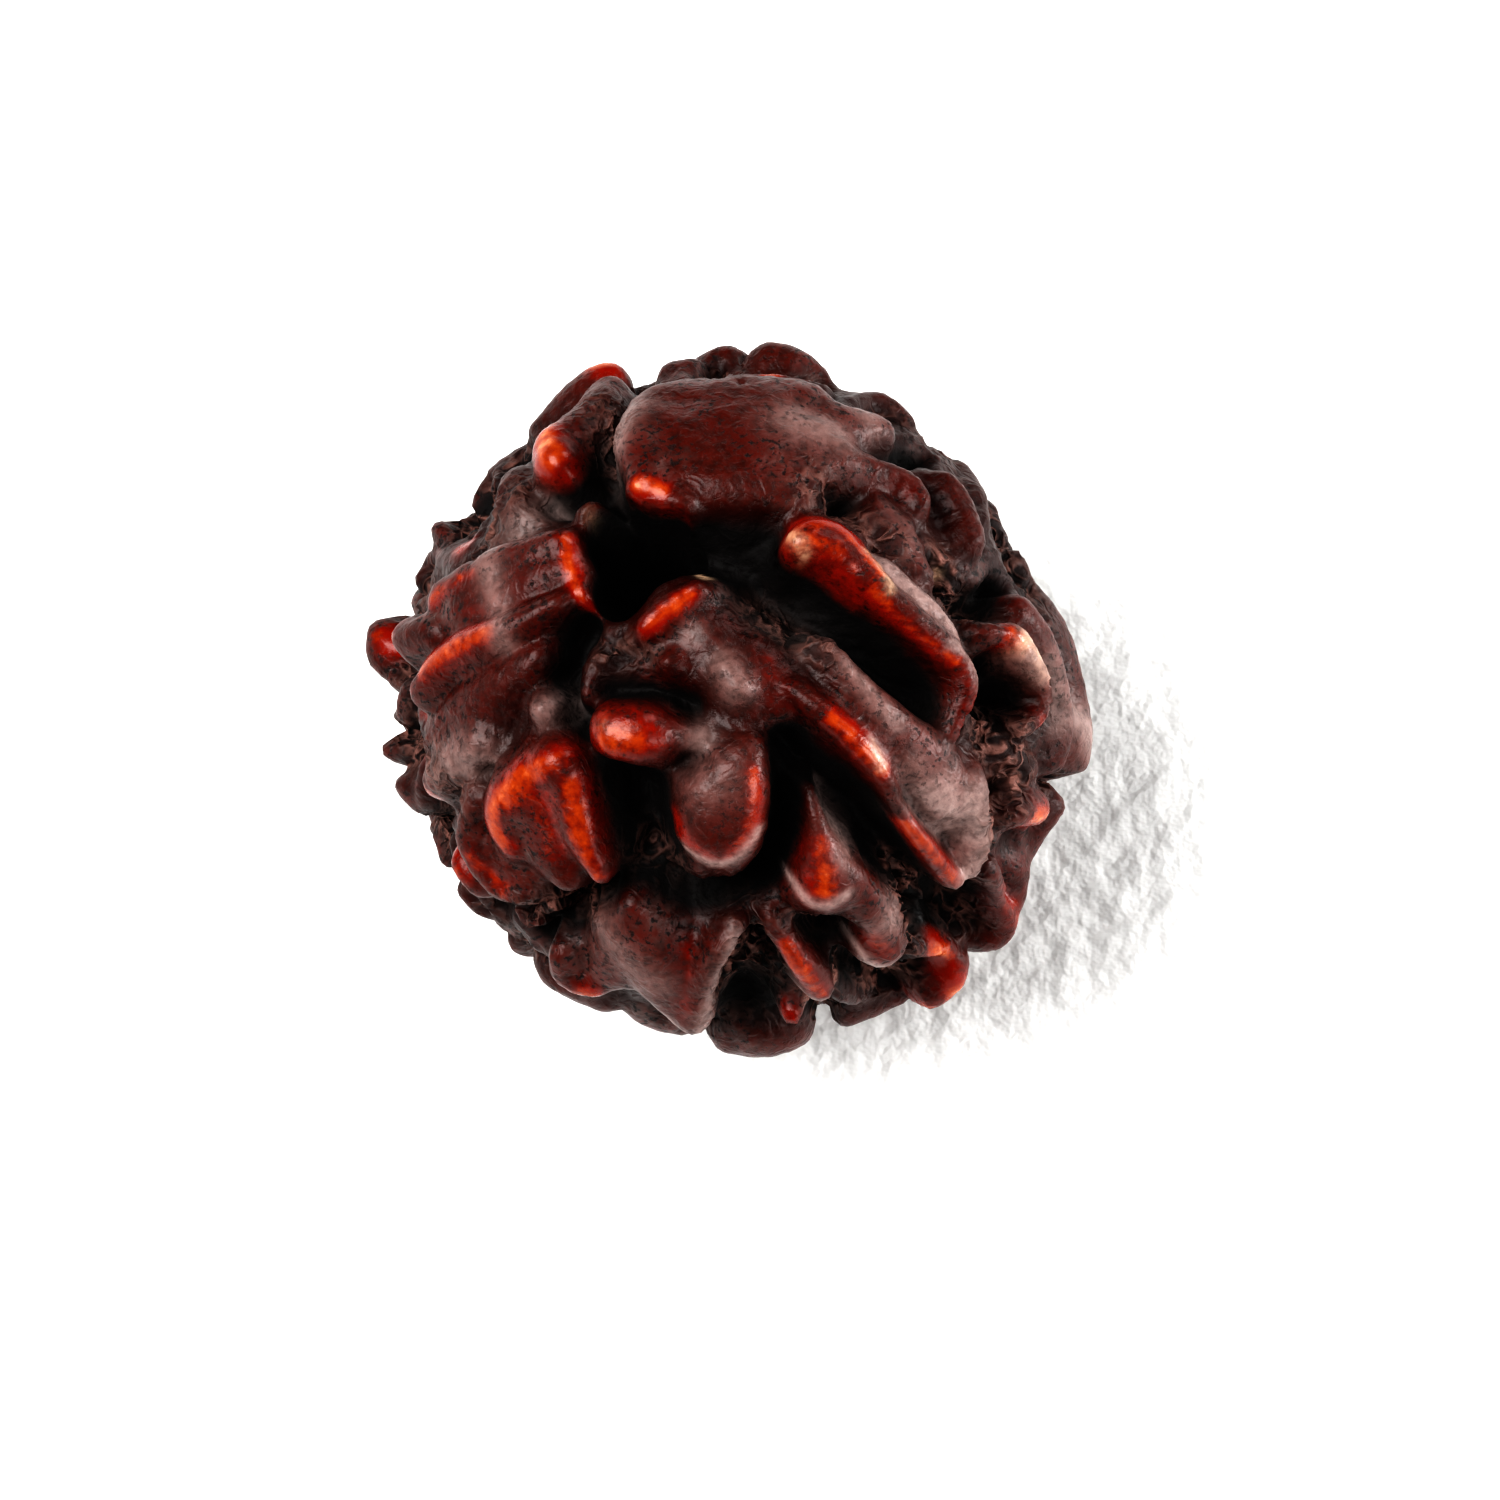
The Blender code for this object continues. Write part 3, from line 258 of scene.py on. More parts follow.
# Where handling has worn the crests orange: how much, and points as (pixel x, pixel y, half width in mm)
wornStrokes = [
    (0.7, [(798, 545, 0.7), (826, 552, 0.75), (850, 572, 0.55), (868, 594, 0.34)]),
    (1.1, [(790, 535, 0.35), (808, 524, 0.35), (838, 528, 0.36), (860, 548, 0.34), (880, 574, 0.26)]),
    (0.9, [(874, 590, 0.2), (902, 616, 0.16), (934, 642, 0.16), (958, 662, 0.2)]),
    (0.6, [(966, 672, 0.3), (972, 700, 0.26), (966, 735, 0.26)]),
    (0.9, [(836, 716, 0.35), (862, 742, 0.45), (886, 772, 0.42)]),
    (0.8, [(912, 828, 0.3), (938, 856, 0.35), (960, 884, 0.45)]),
    (0.6, [(965, 885, 0.5), (982, 850, 0.3)]),
    (0.7, [(1012, 635, 0.35), (1036, 655, 0.45), (1048, 680, 0.35)]),
    (1.0, [(1058, 690, 0.35), (1060, 712, 0.35), (1044, 727, 0.3)]),
    (0.4, [(1035, 595, 0.4), (1068, 645, 0.4)]),
    (1.1, [(1036, 822, 0.5), (1056, 822, 0.6)]),
    (0.8, [(1016, 885, 0.5), (1010, 920, 0.5), (1000, 942, 0.5)]),
    (1.0, [(952, 962, 0.5), (952, 990, 0.6), (930, 1003, 0.5)]),
    (0.5, [(905, 1003, 0.3)]),
    (0.6, [(878, 938, 0.45), (884, 955, 0.45)]),
    (0.75, [(822, 842, 0.3), (824, 880, 0.75), (822, 895, 0.7)]),
    (0.95, [(828, 866, 0.2), (822, 893, 0.34)]),
    (0.85, [(752, 775, 0.25), (755, 810, 0.3), (745, 845, 0.35)]),
    (0.75, [(745, 845, 0.35), (718, 862, 0.35), (690, 845, 0.3), (675, 820, 0.25)]),
    (0.35, [(720, 815, 0.9)]),
    (0.82, [(612, 736, 0.85), (645, 738, 0.8)]),
    (0.85, [(785, 950, 0.25), (806, 978, 0.35), (822, 994, 0.3)]),
    (0.8, [(793, 1026, 0.3)]),
    (0.85, [(497, 800, 0.45), (494, 825, 0.5), (505, 845, 0.4)]),
    (0.85, [(560, 757, 0.5), (530, 775, 0.6), (508, 795, 0.5)]),
    (0.85, [(572, 785, 0.4), (580, 825, 0.5), (590, 865, 0.4), (598, 880, 0.3)]),
    (0.62, [(545, 800, 0.8), (555, 850, 0.8)]),
    (0.7, [(500, 893, 0.35), (488, 880, 0.4), (468, 855, 0.3)]),
    (0.9, [(470, 908, 0.5), (456, 892, 0.45)]),
    (1.1, [(440, 846, 0.4), (440, 870, 0.4)]),
    (0.5, [(684, 965, 0.5), (690, 990, 0.5), (684, 1012, 0.4)]),
    (0.2, [(650, 985, 0.6)]),
    (0.85, [(544, 978, 0.5), (562, 992, 0.5), (592, 998, 0.4)]),
    (0.5, [(760, 1045, 0.3)]),
    (0.6, [(470, 575, 0.35), (445, 590, 0.35), (430, 602, 0.3)]),
    (0.45, [(510, 590, 0.7), (470, 610, 0.6)]),
    (0.88, [(428, 668, 0.5), (455, 650, 0.5), (490, 632, 0.4)]),
    (0.8, [(412, 682, 0.45), (398, 715, 0.45)]),
    (1.4, [(396, 640, 0.6), (380, 636, 0.6)]),
    (1.5, [(386, 748, 0.55)]),
    (0.6, [(392, 718, 0.25)]),
    (0.5, [(390, 675, 0.2)]),
    (0.9, [(400, 790, 0.4), (418, 800, 0.35)]),
    (1.5, [(436, 528, 0.5)]),
    (1.1, [(546, 436, 0.6), (552, 460, 0.65)]),
    (1.1, [(604, 370, 0.6)]),
    (0.25, [(590, 385, 0.8)]),
    (1.2, [(662, 370, 0.4), (650, 388, 0.35)]),
    (1.3, [(772, 358, 0.5)]),
    (0.6, [(800, 364, 0.5)]),
    (0.25, [(700, 420, 1.2)]),
    (1.0, [(640, 488, 0.3), (664, 492, 0.35)]),
    (0.7, [(668, 508, 0.5), (684, 525, 0.4)]),
    (0.5, [(890, 405, 0.3), (910, 420, 0.3)]),
    (0.5, [(905, 468, 0.3), (922, 480, 0.3)]),
    (0.95, [(562, 535, 0.3), (563, 565, 0.35), (572, 592, 0.3), (588, 602, 0.25)]),
    (0.95, [(640, 628, 0.3), (662, 610, 0.35), (690, 590, 0.3)]),
    (0.7, [(583, 505, 0.3)]),
    (0.4, [(780, 700, 0.9), (770, 660, 0.6)]),
    (0.7, [(440, 845, 0.5), (458, 880, 0.5)]),
    (0.25, [(690, 420, 1.0), (740, 450, 1.4)]),
    (0.2, [(480, 700, 1.2), (520, 640, 0.8)]),
    (0.2, [(700, 640, 0.8), (640, 680, 0.6)]),
]

# Where the ground is crumbly, with curly ribs and pits: how much, and points as above
crumbStrokes = [
    (1.0, [(1005, 600, 0.6), (985, 588, 0.6)]),
    (0.9, [(962, 548, 0.6), (975, 572, 0.7)]),
    (0.6, [(872, 508, 0.6), (905, 530, 0.5)]),
    (0.55, [(760, 590, 0.6), (800, 622, 0.6), (836, 652, 0.4)]),
    (1.0, [(1012, 738, 0.8), (1045, 762, 0.8), (1030, 792, 0.8)]),
    (1.0, [(1003, 815, 0.6), (1000, 852, 0.6)]),
    (0.9, [(985, 908, 0.6), (950, 918, 0.7)]),
    (1.0, [(918, 908, 0.6), (928, 952, 0.6), (900, 1000, 0.6)]),
    (1.0, [(762, 962, 0.8), (745, 1012, 1.1)]),
    (0.9, [(855, 1008, 0.6), (822, 1020, 0.6)]),
    (1.0, [(516, 922, 0.8), (560, 926, 0.7)]),
    (0.8, [(725, 368, 0.6)]),
    (0.7, [(497, 488, 0.8), (472, 516, 0.6)]),
    (0.6, [(420, 758, 0.8), (452, 800, 0.6)]),
    (0.6, [(600, 398, 0.6), (606, 436, 0.5)]),
    (0.6, [(815, 478, 0.8), (842, 496, 0.5)]),
    (0.35, [(625, 880, 0.7), (668, 895, 0.6)]),
    (0.5, [(590, 652, 0.5), (640, 645, 0.5)]),
    (0.5, [(842, 950, 0.6), (800, 935, 0.5)]),
    (0.6, [(436, 562, 0.5), (455, 540, 0.6)]),
]

# Where old oil leaves a grey veil, and where painted sheen and thin painted rim highlights lie: how much, and
# points as above
veilAndSheenStrokes = [
    (0.7, [(624, 418, 0.7), (618, 446, 0.5)]),
    (0.5, [(795, 422, 0.8), (838, 434, 0.7)]),
    (0.5, [(870, 415, 0.5)]),
    (0.5, [(540, 712, 0.5)]),
    (0.5, [(720, 662, 0.45), (738, 688, 0.5)]),
    (0.15, [(850, 655, 0.5), (900, 712, 0.7), (938, 756, 0.8)]),
    (0.5, [(850, 664, 0.2), (878, 700, 0.3), (902, 726, 0.3)]),
    (1.0, [(952, 796, 0.5), (964, 838, 0.45)]),
    (0.9, [(942, 800, 0.8), (962, 832, 0.55)]),
    (0.8, [(1030, 652, 0.4), (1046, 676, 0.3)]),
    (0.6, [(1062, 665, 0.5), (1076, 720, 0.5)]),
    (0.6, [(836, 806, 0.28), (850, 856, 0.5)]),
    (0.6, [(895, 922, 0.6)]),
    (0.5, [(700, 745, 0.5)]),
    (0.3, [(712, 785, 0.9)]),
    (0.6, [(470, 762, 0.7), (428, 772, 0.6)]),
    (0.5, [(486, 556, 0.5), (500, 640, 0.4)]),
    (0.3, [(600, 940, 0.6), (650, 985, 0.7)]),
    (0.5, [(525, 490, 0.5), (500, 520, 0.6)]),
    (0.15, [(908, 500, 0.5), (925, 545, 0.5)]),
    (0.4, [(690, 630, 0.4)]),
    # Thin painted rim highlights along the lobes' lower edges
    (0.9, [(686, 856, 0.16), (712, 868, 0.18), (738, 860, 0.16), (757, 832, 0.14)]),
    (0.9, [(797, 893, 0.14), (820, 905, 0.18), (846, 893, 0.16)]),
    (0.9, [(862, 958, 0.15), (886, 968, 0.18), (908, 958, 0.15)]),
    (1.0, [(640, 1008, 0.18), (690, 1028, 0.2)]),
    (0.9, [(736, 944, 0.15), (714, 984, 0.16), (700, 1024, 0.18)]),
    (0.8, [(806, 1000, 0.15), (828, 1004, 0.16)]),
    (0.85, [(882, 552, 0.26), (908, 578, 0.4), (942, 608, 0.44), (972, 638, 0.36), (986, 668, 0.28)]),
    (0.25, [(776, 590, 0.5), (826, 634, 0.55), (880, 680, 0.45)]),
    (0.8, [(950, 645, 0.13), (966, 658, 0.14), (978, 690, 0.13)]),
    (0.8, [(872, 742, 0.12), (886, 768, 0.12)]),
    (1.0, [(1030, 645, 0.4), (1052, 665, 0.4), (1058, 700, 0.35)]),
    (0.9, [(1078, 680, 0.5), (1088, 740, 0.5)]),
    (1.0, [(975, 800, 0.5), (985, 850, 0.55), (975, 880, 0.4)]),
    (0.4, [(920, 770, 0.6), (945, 800, 0.6)]),
]

# Small pits that are not in the solid, cut in and coloured near black, partly dark pulp and partly painted shade:
# how deep, and points as above
pitStrokes = [
    (1.0, [(716, 372, 0.22), (734, 364, 0.2)]),
    (1.0, [(840, 496, 0.25)]),
    (0.7, [(742, 384, 0.16)]),
    (0.9, [(1004, 600, 0.3)]),
    (0.7, [(1060, 738, 0.22)]),
    (0.7, [(888, 536, 0.16)]),
    (0.6, [(935, 520, 0.2)]),
    (0.8, [(706, 1000, 0.2)]),
    (0.8, [(530, 940, 0.25)]),
    (0.6, [(470, 560, 0.2)]),
    (0.6, [(610, 640, 0.2)]),
    (0.7, [(958, 826, 0.12)]),
]

# Pale spots: flakes of dried husk left by the mouth, and painted highlights on the polished crests
flakeAndGlintStrokes = [
    (0.9, [(625, 512, 0.14), (645, 526, 0.14)]),
    (0.9, [(682, 542, 0.14), (704, 562, 0.15)]),
    (0.7, [(583, 505, 0.2)]),
    (0.7, [(968, 558, 0.16)]),
    # The next five are painted highlights: on the ear, the long crest, the round knob and the east edge
    (0.6, [(1026, 642, 0.3), (1046, 668, 0.3)]),
    (0.7, [(796, 536, 0.13), (808, 550, 0.14)]),
    (0.7, [(866, 552, 0.12), (884, 576, 0.14), (890, 592, 0.12)]),
    (0.15, [(608, 728, 0.2)]),
    (0.5, [(874, 748, 0.12), (884, 770, 0.12)]),
    (0.5, [(714, 372, 0.14), (734, 364, 0.14)]),
]

# The fine relief on that form, in mm
relief = {
    "smoothPeak": 1.2,  # how fast a crest's top grows smooth
    "lumpSpacing": 1.3,
    "lumpLayers": 3,
    "lumpHeight": 0.13,
    "lumpKept": 0.4,  # share left on smooth ground
    "fibreWidth": 0.24,
    "fibreLength": 1.6,
    "fibreLayers": 2,
    "fibreDepth": 0.085,
    "fibreRing": 9.5,  # radius that a fibre's width is measured at
    "fibreRadius": 10.5,  # and its length
    "fibreWander": 0.8,
    "fibreLost": 0.75,  # share lost on smooth ground
    "fibreRise": 3,  # how fast fibres grow away from the upper mouth, and from where
    "fibreStart": 0.9,
    "bendSpacing": 0.9,  # slow noise that bends ribs and pits
    "ribSpacing": 0.72,  # curly ribs on crumbly ground
    "ribBend": 0.55,
    "ribSharpness": 2.6,
    "ribLevel": 0.35,
    "ribHeight": 0.34,
    "pitSpacing": 0.5,
    "pitBend": 0.3,
    "pitLevel": 0.28,
    "pitGain": 2,
    "pitDepth": 0.2,
    "pitPlain": 0.15,  # share of their depth on plain ground
    "holeDepth": 0.4,  # of the small black pits above
    "holeCut": 1.5,  # depth of the valley that is as dark as a hole
    "crumbCut": 0.8,  # the hidden side crumbles where a valley is cut this deep
    "crumbLevel": 0.9,
    "crumbHeight": 1.2,  # or the ground is lower than about this
    "crumbPeak": 0.3,
    "crumbWear": 1.2,
    "noiseGain": 1.6,  # brings the noise to about -1 to 1
    "seed": 5,
}

# What the whole range of three of the attributes that the material reads stands for, in mm
fullScale = {"height": 1.8, "deep": 1.5, "fine": 0.3}


def unit(vector):
    # Each vector over its length
    vector = np.asarray(vector, float)
    return vector / np.linalg.norm(vector, axis=-1, keepdims=True)


pixel = photo["faceAcross"] / photo["facePixels"]
toViewer = np.array([0, -math.cos(photo["elevation"]), math.sin(photo["elevation"])])
toRight = np.array([1.0, 0, 0])
upPicture = np.array([0, math.sin(photo["elevation"]), math.cos(photo["elevation"])])


def seen(x, y, radius):
    # Where the sight line through a pixel meets a sphere round the bead's middle, or passes closest to it:
    # its direction from there, and its distance
    centreX, centreY = photo["faceCentre"]
    across = ((x - centreX) * toRight - (y - centreY) * upPicture) * pixel
    eye = toViewer * photo["distance"]
    ray = unit(across - eye)
    closest = eye - ray * (eye @ ray)
    gap = np.linalg.norm(closest)
    if gap >= radius:
        return closest / gap, gap
    return unit(closest - ray * math.sqrt(radius**2 - gap**2)), radius


def crestLine(height, path):
    # Rows of direction, height above the valley sphere and half width, in metres, along a smooth curve (a
    # Catmull-Rom spline) through the points. A point's fourth number, where it has one, is its share of the height.
    valley = shell["valleyRadius"]
    rows = []
    for x, y, width, *share in path:
        direction, radius = seen(x, y, valley + height * mm)
        rows.append((*direction, (radius - valley) * (share[0] if share else 1), width * mm))
    rows = np.array(rows)
    if len(rows) == 1:
        return rows
    ends = np.concatenate([2 * rows[:1] - rows[1:2], rows, 2 * rows[-1:] - rows[-2:-1]])
    before, start, end, after = ends[:-3], ends[1:-2], ends[2:-1], ends[3:]
    steps = []
    for t in np.arange(shell["curveSteps"]) / shell["curveSteps"]:
        steps.append(start + 0.5 * t * (end - before + t * (2 * before - 5 * start + 4 * end - after
                                                            + t * (3 * (start - end) + after - before))))
    curve = np.concatenate([np.stack(steps, 1).reshape(-1, 5), rows[-1:]])
    curve[:, :3] = unit(curve[:, :3])
    return curve


def edgeLines():
    # Crests on the outline: their height is what the outline shows, and each runs over the edge its own way
    draw = np.random.default_rng(shell["seed"] + 2)
    lines = []
    for path in edgeCrests:
        line = crestLine(-shell["valleyRadius"] / mm, path)
        line[:, :3] = unit(line[:, :3] + draw.uniform(-shell["edgeShift"], shell["edgeShift"]) * toViewer)
        aside = np.cross(toViewer, line[0, :3])
        run = unit(toViewer + draw.uniform(-shell["edgeSlant"], shell["edgeSlant"]) * aside)
        line[:, 3] += shell["edgeLift"]
        lines.append((line, 0.0, run * math.sqrt(1 - draw.uniform(*shell["edgeDepth"]) ** 2)))
    return lines


holeAxis = seen(*shell["mouthPixel"], shell["valleyRadius"])[0]
firstAcross = unit(np.cross(holeAxis, toViewer))
secondAcross = np.cross(holeAxis, firstAcross)


def hiddenLines():
    # Crests of the hidden side: short ridges on a sunflower spiral, turned and sized by seeded draws
    draw = np.random.default_rng(shell["seed"])
    count = shell["hiddenSpiral"]
    lines = []
    for i in range(count):
        height = 1 - 2 * (i + 0.5) / count
        turn = i * math.pi * (3 - math.sqrt(5))
        ring = math.sqrt(1 - height**2)
        here = np.array([ring * math.cos(turn), ring * math.sin(turn), height])
        here = unit(here + draw.normal(0, shell["hiddenJitter"], 3))
        length, width, tall = (draw.uniform(*shell[name]) for name in ("hiddenLength", "hiddenWidth", "hiddenTall"))
        angle = draw.normal(0, shell["hiddenTurn"])
        inView = here @ toViewer > shell["hiddenLimit"]
        if inView or -here[2] > shell["undersideLimit"] or -here @ holeAxis > shell["lowerMouthLimit"]:
            continue
        room = shell["outlineRadius"] / math.sqrt(1 - (here @ toViewer) ** 2) - shell["valleyRadius"]
        tall = min(tall, room / mm)
        along = unit(np.cross(here, np.cross(holeAxis, here)))
        along = unit(along * math.cos(angle) + np.cross(here, along) * math.sin(angle))
        rows = [(*unit(here + along * length * step), tall * mm * (1 - shell["hiddenDrop"] * abs(step)), width * mm)
                for step in (-1, 0, 1)]
        lines.append(np.array(rows))
    return lines


def footLines():
    # The worn warts on the resting plane
    lines = []
    for bearing, distance, width in shell["feet"]:
        turn = math.radians(bearing)
        tilt = math.asin(distance * mm / shell["footRadius"])
        there = (math.sin(tilt) * math.cos(turn), math.sin(tilt) * math.sin(turn), -math.cos(tilt))
        lines.append(np.array([(*there, shell["footRadius"] - shell["valleyRadius"], width * mm)]))
    return lines


def ridge(directions, line, lean=0.0, over=np.zeros(3)):
    # Height of one crest at each direction, and how near its top that is: a rounded top, exp(-(distance / half
    # width) ** flatness), on a skirt (a wider bell curve) that leans to one side. Distances along the vector over
    # count less, the longer it is.
    best = np.zeros(len(directions))
    peak = np.zeros(len(directions))
    ends = line[1:] if len(line) > 1 else line
    for a, b in zip(line, ends):
        run = b[:3] - a[:3]
        span = max(run @ run, 1e-12)
        share = np.clip(((directions - a[:3]) @ run) / span, 0, 1)
        away = directions - unit(a[:3] + share[:, None] * run)
        reach = np.sqrt(np.clip((away**2).sum(-1) - (away @ over) ** 2, 0, None))
        side = (away @ np.cross(a[:3], run)) / (reach * math.sqrt(span) + 1e-9)
        tall = a[3] + share * (b[3] - a[3])
        width = a[4] + share * (b[4] - a[4])
        reach = reach * (shell["valleyRadius"] + tall)
        top = np.exp(-((reach * shell["topShare"] / width) ** shell["topFlatness"]))
        skirtWidth = width * (shell["skirtWidth"] + shell["skirtLean"] * lean * side) + shell["skirtFoot"]
        skirt = np.exp(-((reach / skirtWidth) ** 2)) * shell["skirtShare"]
        best = np.maximum(best, tall * (skirt + (1 - skirt) * top))
        peak = np.maximum(peak, top)
    return best, peak


def near(directions, line, reach):
    # Indices of the directions within reach (an angle) of a crest's line
    middle = unit(line[:, :3].mean(0))
    spread = np.arccos(np.clip((line[:, :3] @ middle).min(), -1, 1))
    return np.nonzero(directions @ middle > math.cos(min(spread + reach, math.pi)))[0]


def waves(directions, count, pitch, seed):
    # A sum of plane sine waves with seeded directions and phases, mostly between -1.5 and 1.5
    draw = np.random.default_rng(seed)
    total = np.zeros(directions.shape[:-1])
    for _ in range(count):
        wave = draw.normal(0, pitch, 3)
        total += np.sin(directions @ wave + draw.uniform(0, 2 * math.pi))
    return total / math.sqrt(count)


def hiddenValleys(directions):
    # Depth of the hidden side's valleys: bell curves across where a sum of waves crosses zero, and across the
    # clefts that run from mouth to mouth
    turn = np.arctan2(directions @ secondAcross, directions @ firstAcross)
    ring = np.sqrt(np.clip(1 - (directions @ holeAxis) ** 2, 0, 1))
    sector = 2 * math.pi / shell["mukhi"]
    waver = shell["mukhiWaver"] * np.sin(3 * (directions @ holeAxis) + turn)
    off = np.abs((turn + waver) % sector - sector / 2) * ring * shell["valleyRadius"]
    clefts = shell["mukhiDepth"] * np.exp(-((off / shell["mukhiWidth"]) ** 2))
    crossing = waves(directions, shell["netWaves"], shell["netPitch"], shell["seed"] + 3)
    net = shell["netDepth"] * np.exp(-((crossing / shell["netWidth"]) ** 2))
    behind = np.clip((shell["hiddenLimit"] + shell["netStart"] - directions @ toViewer) / shell["netFade"], 0, 1)
    return np.maximum(clefts, net) * behind


def surface(directions):
    # Distance from the bead's middle in each direction, height above the valley sphere, nearness to a crest's top
    # and depth of the valley cut there: the smooth maximum of plateau and crests, less the channels
    shape = directions.shape[:-1]
    flat = directions.reshape(-1, 3)
    powers = np.full(len(flat), (shell["plateau"] / mm) ** shell["crestBlend"])
    tops = np.zeros(len(flat))
    lines = [(crestLine(height, path), lean) for _, height, lean, path in crests]
    lines += edgeLines() + [(line,) for line in hiddenLines() + footLines()]
    for line in lines:
        some = near(flat, line[0], shell["crestReach"])
        height, top = ridge(flat[some], *line)
        powers[some] += (height / mm) ** shell["crestBlend"]
        tops[some] = np.maximum(tops[some], top)
    height = powers ** (1 / shell["crestBlend"]) * mm
    cut = hiddenValleys(flat)
    for _, depth, path in channels:
        line = crestLine(1.0, path)
        some = near(flat, line, shell["channelReach"])
        cut[some] = np.maximum(cut[some], depth * mm * ridge(flat[some], line)[1])
    cut *= np.clip(shell["channelStart"] - shell["channelCrest"] * tops, 0, 1)
    height -= cut
    bumps = shell["swell"] * waves(flat, shell["swellWaves"], shell["swellPitch"], shell["seed"] + 1)
    radius = shell["valleyRadius"] + height + bumps
    return [values.reshape(shape) for values in (radius, height, tops, cut)]


def stroked(directions, strokes):
    # How much each direction is covered: the largest of the strokes, each a bell curve across its own path
    flat = directions.reshape(-1, 3)
    amount = np.zeros(len(flat))
    for strength, path in strokes:
        line = crestLine(brush["height"], path)
        some = near(flat, line, brush["reach"])
        best = np.zeros(len(some))
        ends = line[1:] if len(line) > 1 else line
        for a, b in zip(line, ends):
            run = b[:3] - a[:3]
            share = np.clip(((flat[some] - a[:3]) @ run) / max(run @ run, 1e-12), 0, 1)
            away = np.linalg.norm(flat[some] - unit(a[:3] + share[:, None] * run), axis=-1)
            width = (a[4] + share * (b[4] - a[4])) / (shell["valleyRadius"] + brush["height"] * mm)
            best = np.maximum(best, np.exp(-((away / (brush["softness"] * width)) ** 2)))
        amount[some] = np.maximum(amount[some], best * strength)
    return amount.reshape(directions.shape[:-1])


def latticeNoise(points, seed):
    # Gradient noise between about -1 and 1: a seeded slope at each corner of a unit lattice, blended smoothly
    draw = np.random.default_rng(seed)
    order = draw.permutation(256)
    slopes = unit(draw.normal(0, 1, (256, 3)))
    cell = np.floor(points).astype(int)
    part = points - cell
    fade = part**3 * (part * (part * 6 - 15) + 10)
    total = np.zeros(points.shape[:-1])
    for corner in np.ndindex(2, 2, 2):
        at = (cell + corner) & 255
        slope = slopes[order[(order[(order[at[..., 0]] + at[..., 1]) & 255] + at[..., 2]) & 255]]
        weight = np.prod(np.where(corner, fade, 1 - fade), axis=-1)
        total += weight * (slope * (part - corner)).sum(-1)
    return total * relief["noiseGain"]


def layeredNoise(points, layers, seed):
    # Lattice noise at doubling fineness and halving strength
    total = np.zeros(points.shape[:-1])
    for i in range(layers):
        total += latticeNoise(points * 2**i, seed + i) / 2**i
    return total


def fineRelief(points, directions, peaks, wear, crumb):
    # Height of the fine relief: lumps all over, long fibres towards the mouths, and on crumbly ground curly ribs
    # (where noise crosses zero) and pits (where noise is high)
    seed = relief["seed"]
    inMm = points / mm
    turn = np.arctan2(directions @ secondAcross, directions @ firstAcross)
    polar = np.arccos(np.clip(directions @ holeAxis, -1, 1))
    smooth = np.clip(peaks * relief["smoothPeak"] + wear, 0, 1)
    lumps = layeredNoise(inMm / relief["lumpSpacing"], relief["lumpLayers"], seed)
    around = np.stack([np.cos(turn), np.sin(turn), np.zeros_like(turn)], -1)
    around = around * relief["fibreRing"] / relief["fibreWidth"]
    around[..., 2] = polar * relief["fibreRadius"] / relief["fibreLength"]
    fibres = layeredNoise(around + relief["fibreWander"] * lumps[..., None], relief["fibreLayers"], seed + 10)
    grown = np.clip(polar * relief["fibreRise"] - relief["fibreStart"], 0, 1)
    bend = np.stack([latticeNoise(inMm / relief["bendSpacing"], seed + 20 + k) for k in range(3)], -1)
    crossing = latticeNoise(inMm / relief["ribSpacing"] + relief["ribBend"] * bend, seed + 30)
    ribs = np.clip(1 - np.abs(crossing) * relief["ribSharpness"], 0, 1)
    pits = latticeNoise(inMm / relief["pitSpacing"] + relief["pitBend"] * bend, seed + 40)
    pits = np.clip(pits - relief["pitLevel"], 0, 1) * relief["pitGain"]
    lumpShare = relief["lumpKept"] + (1 - relief["lumpKept"]) * (1 - smooth)
    fibreShare = (1 - relief["fibreLost"] * smooth) * grown
    pitShare = (1 - smooth) * (relief["pitPlain"] + (1 - relief["pitPlain"]) * crumb)
    return mm * (relief["lumpHeight"] * lumps * lumpShare + relief["fibreDepth"] * fibres * fibreShare
                 + relief["ribHeight"] * (ribs - relief["ribLevel"]) * crumb - relief["pitDepth"] * pits * pitShare)


def gridNormals(points):
    # Outward normals of a grid that closes on itself both ways: the cross product of its two tangents
    down = np.roll(points, -1, axis=0) - np.roll(points, 1, axis=0)
    roundHole = np.roll(points, -1, axis=1) - np.roll(points, 1, axis=1)
    return unit(np.cross(down, roundHole))


def blurred(values, polar):
    # A Gaussian blur of the outer grid's values: round each ring by damping its Fourier series, then from ring to
    # ring by bell-shaped weights
    spread = shell["blur"] / shell["valleyRadius"]
    wave = np.arange(values.shape[1] // 2 + 1) * spread / np.sin(polar.mean(1, keepdims=True))
    values = np.fft.irfft(np.fft.rfft(values, axis=1) * np.exp(-(wave**2) / 2), values.shape[1], axis=1)
    step = (polar[-1] - polar[0]).mean() / (len(polar) - 1)
    reach = math.ceil(3 * spread / step)
    padded = np.pad(values, ((reach, reach), (0, 0)), "edge")
    weights = np.exp(-((np.arange(-reach, reach + 1) * step / spread) ** 2) / 2)
    total = sum(weight * padded[i:i + len(values)] for i, weight in enumerate(weights))
    return total / weights.sum()


